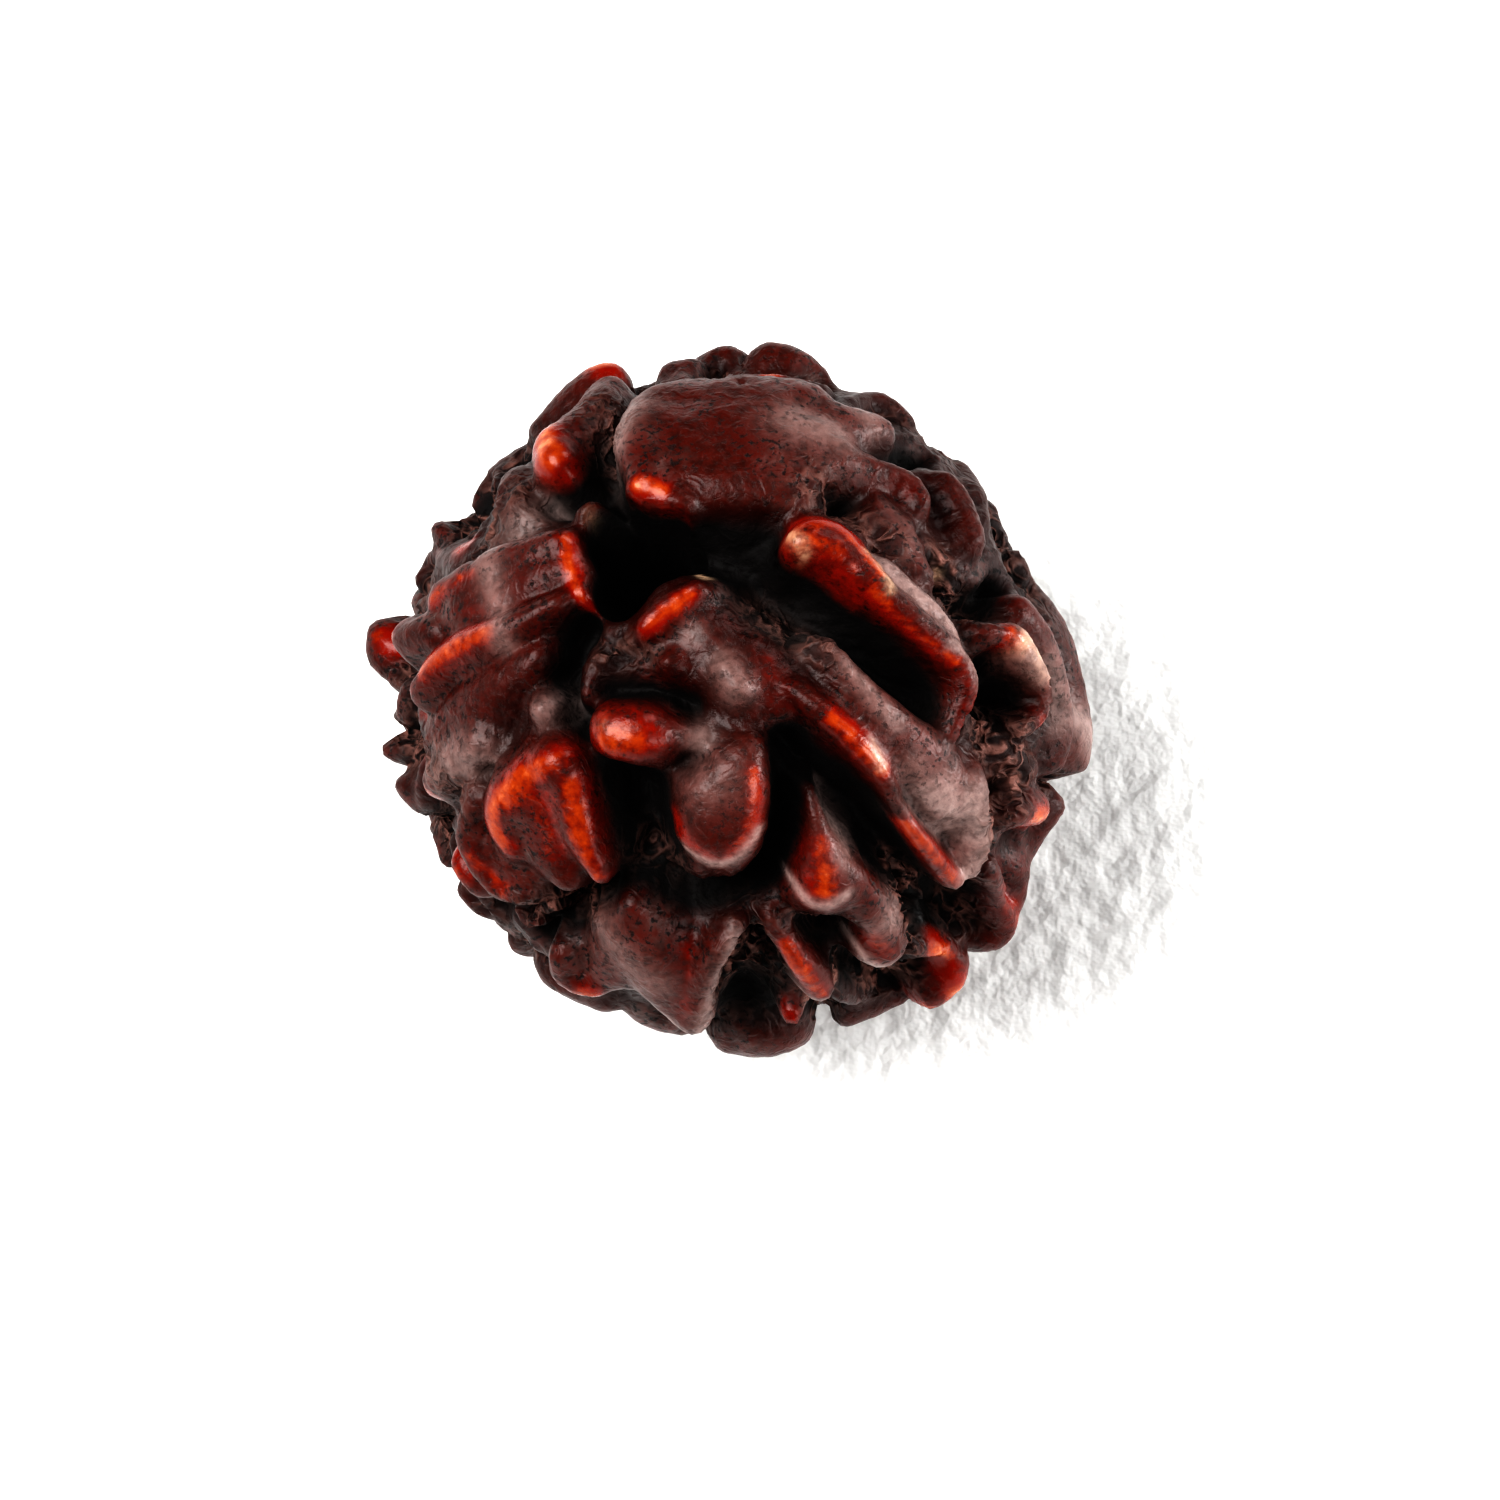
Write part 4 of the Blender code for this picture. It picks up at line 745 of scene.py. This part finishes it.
def shellGrid():
    # Points from the upper mouth over the outside to the lower one, then back up the bore, and what they carry
    turn = np.linspace(0, 2 * math.pi, shell["columns"], endpoint=False)
    around = np.cos(turn)[:, None] * firstAcross + np.sin(turn)[:, None] * secondAcross
    mouth = shell["mouthRadius"] + shell["mouthLobe"] * np.cos(3 * (turn - shell["mouthTurn"]))
    rim = np.arcsin(mouth / (shell["valleyRadius"] + mm))
    share = np.linspace(0, 1, shell["outerRows"])[:, None]
    polar = rim + (math.pi - 2 * rim) * share
    directions = np.cos(polar)[..., None] * holeAxis + np.sin(polar)[..., None] * around
    radius, height, peaks, cut = (blurred(values, polar) for values in surface(directions))
    wear = stroked(directions, wornStrokes)
    pitted = stroked(directions, pitStrokes)
    radius = radius - relief["holeDepth"] * mm * pitted
    cut = np.maximum(cut, relief["holeCut"] * mm * pitted)
    hidden = np.clip((shell["hiddenLimit"] - directions @ toViewer) / shell["netFade"], 0, 1)
    low = cut / (relief["crumbCut"] * mm) + relief["crumbLevel"] - height / (relief["crumbHeight"] * mm)
    crumb = np.maximum(stroked(directions, crumbStrokes), hidden * np.clip(low, 0, 1))
    crumb = crumb * (1 - relief["crumbPeak"] * peaks**2) * (1 - np.clip(wear * relief["crumbWear"], 0, 1))
    outer = directions * radius[..., None]
    along = outer @ holeAxis
    rimOut = np.linalg.norm(outer - along[..., None] * holeAxis, axis=-1)
    rise = np.linspace(0, 1, shell["boreRows"] + 2)[1:-1, None]
    level = along[-1] + (along[0] - along[-1]) * rise
    nearLow = np.exp(-(((level - along[-1]) / shell["boreTaper"]) ** 2))
    nearTop = np.exp(-(((along[0] - level) / shell["boreTaper"]) ** 2))
    boreRadius = shell["boreRadius"]
    wall = boreRadius + (rimOut[-1] - boreRadius) * nearLow + (rimOut[0] - boreRadius) * nearTop
    bore = level[..., None] * holeAxis + wall[..., None] * around
    veilAndSheen, flakeAndGlint = stroked(directions, veilAndSheenStrokes), stroked(directions, flakeAndGlintStrokes)
    none = np.zeros(bore.shape[:2])
    outerValues = {"height": height, "peak": peaks, "wear": wear, "cut": cut, "crumb": crumb, "veilAndSheen": veilAndSheen,
                   "flakeAndGlint": flakeAndGlint, "boreShade": np.zeros(radius.shape)}
    # The bore is painted in shade: near black, and lifted towards the upper mouth
    boreValues = {"cut": none + mm, "boreShade": none + 1 - nearTop * shell["mouthLight"]}
    carried = {name: np.concatenate([values, boreValues.get(name, none)]) for name, values in outerValues.items()}
    return np.concatenate([outer, bore]), carried


def shellPoints():
    # The grid, with crests swollen sideways, fine relief along the normals, the worn spots cut flat, and its box's
    # middle moved to the solid's; how far it was moved; and what its points carry
    points, carried = shellGrid()
    directions = unit(points)
    distance = np.linalg.norm(points, axis=-1)
    raised = np.clip((distance - shell["valleyRadius"] - shell["bulgeStart"]) / shell["bulgeRamp"], 0, 1)
    raised[shell["outerRows"]:] = 0
    raised[[0, shell["outerRows"] - 1]] = 0
    points = points + gridNormals(points) * (raised * shell["bulge"])[..., None]
    fine = fineRelief(points, directions, carried["peak"], carried["wear"], carried["crumb"])
    fine[shell["outerRows"]:] = 0
    points = points + gridNormals(points) * fine[..., None]
    points = points + np.array([0, 0, shell["centreHeight"]])
    lowest, highest = (np.array(corner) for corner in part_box("bead"))
    moved = (lowest + highest) / 2 - (points.min((0, 1)) + points.max((0, 1))) / 2
    moved[2] = 0
    points = points + moved
    points[..., 2] = np.clip(points[..., 2], lowest[2], highest[2])
    carried["height"] = carried["height"] / (fullScale["height"] * mm)
    carried["deep"] = carried.pop("cut") / (fullScale["deep"] * mm)
    carried["fine"] = fine / (fullScale["fine"] * mm) + 0.5
    return points, moved, carried


def makeShell(material):
    # The grid as one closed mesh of quads, with what its points carry as attributes. It returns how far the shell
    # was moved, for the camera.
    points, moved, carried = shellPoints()
    rows, columns = points.shape[:2]
    index = np.arange(rows * columns).reshape(rows, columns)
    below = np.roll(index, -1, axis=0)
    beside = np.roll(index, -1, axis=1)
    corner = np.roll(below, -1, axis=1)
    quads = np.stack([index, below, corner, beside], axis=-1).reshape(-1, 4)
    mesh = bpy.data.meshes.new("seedShell")
    mesh.from_pydata(points.reshape(-1, 3), [], quads.tolist())
    for name, values in carried.items():
        layer = mesh.attributes.new(name, "FLOAT", "POINT")
        layer.data.foreach_set("value", np.clip(values, 0, 1).astype(np.float32).ravel())
    mesh.shade_smooth()
    mesh.materials.append(material)
    piece = bpy.data.objects.new("seedShell", mesh)
    bpy.context.scene.collection.objects.link(piece)
    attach(piece, "root")
    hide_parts("bead")
    print("seed shell:", len(mesh.polygons), "faces")
    return moved


def linear(hexColour):
    # sRGB hex to linear RGBA
    values = [int(hexColour[i:i + 2], 16) / 255 for i in (1, 3, 5)]
    return tuple(v / 12.92 if v <= 0.04045 else ((v + 0.055) / 1.055) ** 2.4 for v in values) + (1.0,)


def addNode(tree, kind, settings=None, links=None, values=None):
    # One node: its settings, its sockets' links from (node, output), and its sockets' own values
    node = tree.nodes.new(kind)
    for name, value in (settings or {}).items():
        setattr(node, name, value)
    for socket, value in (values or {}).items():
        node.inputs[socket].default_value = value
    for socket, (source, output) in (links or {}).items():
        tree.links.new(source.outputs[output], node.inputs[socket])
    return node


def newMaterial(name):
    # A material with an empty node tree and a Principled shader on its output
    material = bpy.data.materials.new(name)
    material.use_nodes = True
    tree = material.node_tree
    tree.nodes.clear()
    shader = addNode(tree, "ShaderNodeBsdfPrincipled")
    addNode(tree, "ShaderNodeOutputMaterial", links={"Surface": (shader, "BSDF")})
    return material, tree, shader


# Oiled seed shell (endocarp): a hard wood-like stone, dark maroon from oil and handling. Its crests are polished
# by touch down to red and orange wood, which shines, while crumbly ground and valleys stay rough and nearly black,
# partly from dark pulp and partly from painted shade that deepens into the valleys and the bore.
shellFinish = {
    "colours": {
        # valley and slope: the valleys' dark pulp, with painted shade that deepens with a valley's depth
        "valley": "#050100",
        "slope": "#280904",
        "ground": "#4C170D",
        "veilAndSheen": "#A6908A",  # old oil gone dull and grey, and painted sheen and painted rim highlights
        "crumb": "#8E665C",  # ribs on crumbly ground
        "flakeAndGlint": "#D0AE90",
        "stain": "#4E1106",
        "deepRed": "#801A05",
        # orange: worn wood, laid along the worn crests' tops, partly as a painted highlight; the pale colour after
        # it is a painted highlight
        "orange": "#AA4C1A",
        "crestHighlight": "#D88E60",
    },
    # Noises: spacing in mm, detail, roughness and distortion. The speckle is pores, which are drawn about twice as
    # coarse as they are so that they show. The curl is the edges of curly ribs, too sharp for the mesh.
    "noises": {
        "grain": (0.35, 4, 0.6, 0),
        "blotch": (2.4, 4, 0.6, 0),
        "speckle": (0.2, 4, 0.6, 0),
        "curl": (0.72, 1.5, 0.5, 0.8),
    },
    # Masks, worked out in turn from the piece's attributes and the noises. A curve or a line reads one of them from
    # a first level to a second, and goes from a third value to a fourth; the others are plain arithmetic.
    "masks": [
        # lift, low, rise and higher: lower and deeper ground takes the slope's and then the valley's colour, partly
        # dark pulp and partly painted shade
        ("lift", "MULTIPLY_ADD", "fine", 0.2, "height"),
        ("low", "MULTIPLY_ADD", "deep", -0.6, "lift"),
        ("rise", "curve", "low", 0.05, 0.55, 0, 1),
        ("higher", "curve", "low", 0.45, 0.95, 0, 1),
        ("streaks", "curve", "grain", 0.3, 0.65, 0.3, 1),
        ("grounded", "MULTIPLY", "higher", "streaks"),
        ("patches", "curve", "blotch", 0.52, 0.7, 0, 0.15),
        ("patched", "MULTIPLY", "rise", "patches"),
        ("touched", "curve", "peak", 0.75, 1, 0, 1),
        ("some", "curve", "blotch", 0.42, 0.62, 0, 0.25),
        ("handled", "MULTIPLY", "touched", "some"),
        ("rubbed", "MAXIMUM", "wear", "handled"),
        ("mottle", "ADD", "grain", "blotch"),
        ("broken", "line", "mottle", 0.75, 1.25, -0.32, 0.14),
        ("worn", "ADD", "rubbed", "broken"),
        ("stainable", "curve", "worn", -0.1, 0.45, 0, 1),
        ("stained", "MULTIPLY", "stainable", "rise"),
        ("red", "curve", "worn", 0.28, 0.9, 0, 1),
        ("reddened", "MULTIPLY", "red", "rise"),
        ("top", "curve", "peak", 0.55, 1, 0, 1),
        ("edge", "MULTIPLY", "worn", "top"),
        # Along the tops of the worn crests: orange wood that partly stands for a painted highlight, and a pale
        # painted highlight at the very top
        ("polishAndHighlight", "curve", "edge", 0.4, 1.1, 0, 1),
        ("highlighted", "curve", "edge", 0.8, 1.2, 0, 1),
        # The veil strokes: grey old oil, painted sheen on flanks that face the lamps, and painted rim highlights
        ("thin", "curve", "grain", 0.25, 0.7, 0.4, 0.85),
        ("veilAndSheenLaid", "MULTIPLY", "veilAndSheen", "thin"),
        # Crumbly ground goes near black under its ribs: partly dark pulp, partly painted shade in the gaps
        ("dark", "MULTIPLY", "crumb", 0.9),
        ("swing", "SUBTRACT", "curl", 0.5),
        ("fold", "ABSOLUTE", "swing"),
        ("curled", "curve", "fold", 0, 0.14, 1, 0),
        ("raised", "curve", "fine", 0.3, 0.8, 0.5, 1),
        ("ribs", "MULTIPLY", "raised", "curled"),
        ("ribbed", "MULTIPLY", "ribs", "crumb"),
        # Pores painted near black: partly dark pulp, partly painted shade
        ("holes", "curve", "speckle", 0.52, 0.63, 0, 0.85),
        ("patchy", "curve", "blotch", 0.42, 0.58, 0.12, 1),
        ("clear", "line", "veilAndSheen", 0, 1, 1, 0.2),
        ("bare", "line", "red", 0, 1, 1, 0.1),
        ("patchyHoles", "MULTIPLY", "holes", "patchy"),
        ("clearHoles", "MULTIPLY", "patchyHoles", "clear"),
        ("pitted", "MULTIPLY", "clearHoles", "bare"),
        # Flakes and painted highlights, broken by the grain
        ("flakedAndGlinted", "MULTIPLY", "flakeAndGlint", "streaks"),
        ("pores", "curve", "speckle", 0.5, 0.8, 0, 0.2),
    ],
    # Colours laid over the valley's, each by its mask
    "layers": [("rise", "slope"), ("grounded", "ground"), ("patched", "veilAndSheen"), ("stained", "stain"),
               ("reddened", "deepRed"), ("polishAndHighlight", "orange"), ("highlighted", "crestHighlight"), ("veilAndSheenLaid", "veilAndSheen"),
               ("dark", "valley"), ("ribbed", "crumb"), ("pitted", "valley"), ("flakedAndGlinted", "flakeAndGlint"),
               ("boreShade", "valley")],
    "toothHeight": 0.035,  # mm, grain and pores
    "toothWorn": 0.15,  # share of it on worn crests
    "poreDepth": 2.5,  # how much deeper than the grain the pores are
    "curlHeight": 0.16,  # mm on crumbly ground
    "curlPlain": 0.35,  # share of the tooth's height that curls have elsewhere
    "roughCrest": 0.2,
    "roughGround": 0.4,
    "roughValley": 0.75,
    "roughStart": 0.15,  # height of the mask low where the valley's roughness ends
    "roughEnd": 0.6,
    "ior": 1.5,
    "specular": 0.28,
}


def shellMaterial():
    # Colour by height above the valleys, darker the lower and deeper (partly dark pulp, partly painted shade), then
    # by veil and painted sheen, crumb, wear and painted highlights, each with edges broken by the grain
    finish = shellFinish
    colours = {name: linear(value) for name, value in finish["colours"].items()}
    material, tree, shader = newMaterial("oiledSeedShell")
    place = addNode(tree, "ShaderNodeTexCoord")
    made = {name: (addNode(tree, "ShaderNodeAttribute", {"attribute_name": name}), "Fac")
            for name in ("height", "peak", "wear", "boreShade", "fine", "deep", "crumb", "veilAndSheen", "flakeAndGlint")}
    for name, (spacing, detail, roughness, distortion) in finish["noises"].items():
        noise = addNode(tree, "ShaderNodeTexNoise", {}, {"Vector": (place, "Object")},
                        {"Scale": 1000 / spacing, "Detail": detail, "Roughness": roughness,
                         "Distortion": distortion})
        made[name] = (noise, "Fac")
    for name, kind, *inputs in finish["masks"]:
        if kind in ("curve", "line"):
            limits = dict(zip(("From Min", "From Max", "To Min", "To Max"), inputs[1:]))
            settings = {"interpolation_type": "SMOOTHSTEP" if kind == "curve" else "LINEAR"}
            node = addNode(tree, "ShaderNodeMapRange", settings, {"Value": made[inputs[0]]}, limits)
        else:
            links = {i: made[value] for i, value in enumerate(inputs) if isinstance(value, str)}
            values = {i: value for i, value in enumerate(inputs) if not isinstance(value, str)}
            settings = {"operation": kind, "use_clamp": kind == "MULTIPLY"}
            node = addNode(tree, "ShaderNodeMath", settings, links, values)
        made[name] = (node, 0)

    base = addNode(tree, "ShaderNodeRGB")
    base.outputs[0].default_value = colours["valley"]
    colour = (base, 0)
    for mask, name in finish["layers"]:
        colour = (addNode(tree, "ShaderNodeMix", {"data_type": "RGBA"}, {"Factor": made[mask], 6: colour},
                          {7: colours[name]}), 2)
    tree.links.new(colour[0].outputs[2], shader.inputs["Base Color"])

    rough = addNode(tree, "ShaderNodeMapRange", {"interpolation_type": "SMOOTHSTEP"}, {"Value": made["low"]},
                    {"From Min": finish["roughStart"], "From Max": finish["roughEnd"],
                     "To Min": finish["roughValley"], "To Max": finish["roughGround"]})
    rough = (rough, 0)
    for mask, name in (("red", "roughCrest"), ("dark", "roughValley")):
        rough = (addNode(tree, "ShaderNodeMix", {"data_type": "FLOAT"}, {0: made[mask], 2: rough},
                         {3: finish[name]}), 0)
    rough = addNode(tree, "ShaderNodeMath", {"operation": "ADD"}, {0: rough, 1: made["pores"]})
    tree.links.new(rough.outputs[0], shader.inputs["Roughness"])

    tooth = addNode(tree, "ShaderNodeMath", {"operation": "MULTIPLY_ADD"}, {0: made["pores"], 2: made["grain"]},
                    {1: -finish["poreDepth"]})
    plain = addNode(tree, "ShaderNodeMapRange", {}, {"Value": made["red"]},
                    {"To Min": finish["toothHeight"], "To Max": finish["toothWorn"] * finish["toothHeight"]})
    coarse = addNode(tree, "ShaderNodeMapRange", {}, {"Value": made["crumb"]},
                     {"To Min": finish["curlPlain"] * finish["toothHeight"], "To Max": finish["curlHeight"]})
    curls = addNode(tree, "ShaderNodeMath", {"operation": "MULTIPLY"}, {0: made["curled"], 1: (coarse, 0)})
    curls = addNode(tree, "ShaderNodeMath", {"operation": "MULTIPLY"}, {0: (curls, 0), 1: made["bare"]})
    tooth = addNode(tree, "ShaderNodeMath", {"operation": "MULTIPLY_ADD"},
                    {0: (tooth, 0), 1: (plain, 0), 2: (curls, 0)})
    bump = addNode(tree, "ShaderNodeBump", {}, {"Height": (tooth, 0)}, {"Strength": 1.0, "Distance": mm})
    tree.links.new(bump.outputs["Normal"], shader.inputs["Normal"])
    shader.inputs["IOR"].default_value = finish["ior"]
    shader.inputs["Specular IOR Level"].default_value = finish["specular"]
    print("seed shell's finish done")
    return material


# Matt white board: the light clips it to plain white, and its soft tooth shows in the shadow alone
table = {
    "size": 1.2,
    "colour": "#F4F4F2",
    "toothMm": 1.1,
    "toothHeight": 0.22 * mm,
    "roughness": 0.9,
}


def makeTable():
    # One flat square
    half = table["size"] / 2
    mesh = bpy.data.meshes.new("whiteBoard")
    mesh.from_pydata([(-half, -half, 0), (half, -half, 0), (half, half, 0), (-half, half, 0)], [], [(0, 1, 2, 3)])
    board = bpy.data.objects.new("whiteBoard", mesh)
    bpy.context.scene.collection.objects.link(board)
    material, tree, shader = newMaterial("mattBoard")
    place = addNode(tree, "ShaderNodeTexCoord")
    tooth = addNode(tree, "ShaderNodeTexNoise", {}, {"Vector": (place, "Object")},
                    {"Scale": 1000 / table["toothMm"], "Detail": 3, "Roughness": 0.5})
    bump = addNode(tree, "ShaderNodeBump", {}, {"Height": (tooth, "Fac")},
                   {"Strength": 1.0, "Distance": table["toothHeight"]})
    tree.links.new(bump.outputs["Normal"], shader.inputs["Normal"])
    shader.inputs["Base Color"].default_value = linear(table["colour"])
    shader.inputs["Roughness"].default_value = table["roughness"]
    mesh.materials.append(material)
    print("table done")


# Light: a large soft box above the left makes the one shadow, and weaker ones low all round give the flanks a sheen
light = {
    "surround": 0.035,
    "boxes": [
        {"name": "leftBox", "bearing": 185, "elevation": 58, "distance": 0.5, "size": 0.36, "power": 3.4},
        {"name": "rearBox", "bearing": 50, "elevation": 35, "distance": 0.5, "size": 0.2, "power": 0.6},
        {"name": "rightBox", "bearing": 5, "elevation": 11, "distance": 0.5, "size": 0.18, "power": 1.7},
        {"name": "frontBox", "bearing": 325, "elevation": 28, "distance": 0.5, "size": 0.2, "power": 0.85},
    ],
}


def makeLight():
    # A dim white tent, and square lamps that face the bead's middle
    world = bpy.data.worlds.new("whiteTent")
    bpy.context.scene.world = world
    world.use_nodes = True
    background = world.node_tree.nodes["Background"]
    background.inputs["Color"].default_value = (1, 1, 1, 1)
    background.inputs["Strength"].default_value = light["surround"]
    middle = Vector((0, 0, shell["centreHeight"]))
    for settings in light["boxes"]:
        lamp = bpy.data.lights.new(settings["name"], "AREA")
        lamp.size = settings["size"]
        lamp.energy = settings["power"]
        thing = bpy.data.objects.new(settings["name"], lamp)
        turn, rise = math.radians(settings["bearing"]), math.radians(settings["elevation"])
        out = Vector((math.cos(turn) * math.cos(rise), math.sin(turn) * math.cos(rise), math.sin(rise)))
        thing.location = middle + out * settings["distance"]
        thing.rotation_euler = (-out).to_track_quat("-Z", "Y").to_euler()
        bpy.context.scene.collection.objects.link(thing)
    print("light done")


def makeCamera(moved):
    # It looks along the photograph's view, aimed beside the bead's middle by as much as the frame's middle is, with
    # a lens that makes the frame as wide as its pixels measure at the bead
    size = photo["frameSize"]
    centreX, centreY = photo["faceCentre"]
    step = photo["dressedAcross"] / photo["facePixels"]
    aside = toRight * (size / 2 - centreX) * step - upPicture * (size / 2 - centreY) * step
    data = bpy.data.cameras.new("camera")
    data.sensor_width = photo["sensor"]
    data.lens = data.sensor_width * photo["distance"] / (size * step)
    camera = bpy.data.objects.new("camera", data)
    middle = moved + (0, 0, shell["centreHeight"])
    camera.location = Vector(middle + aside + toViewer * photo["distance"])
    camera.rotation_euler = (-Vector(toViewer)).to_track_quat("-Z", "Y").to_euler()
    bpy.context.scene.collection.objects.link(camera)
    bpy.context.scene.camera = camera
    print("camera done")


makeCamera(makeShell(shellMaterial()))
makeTable()
makeLight()
view = bpy.context.scene.view_settings
view.view_transform = "Standard"
view.look = "Very High Contrast"
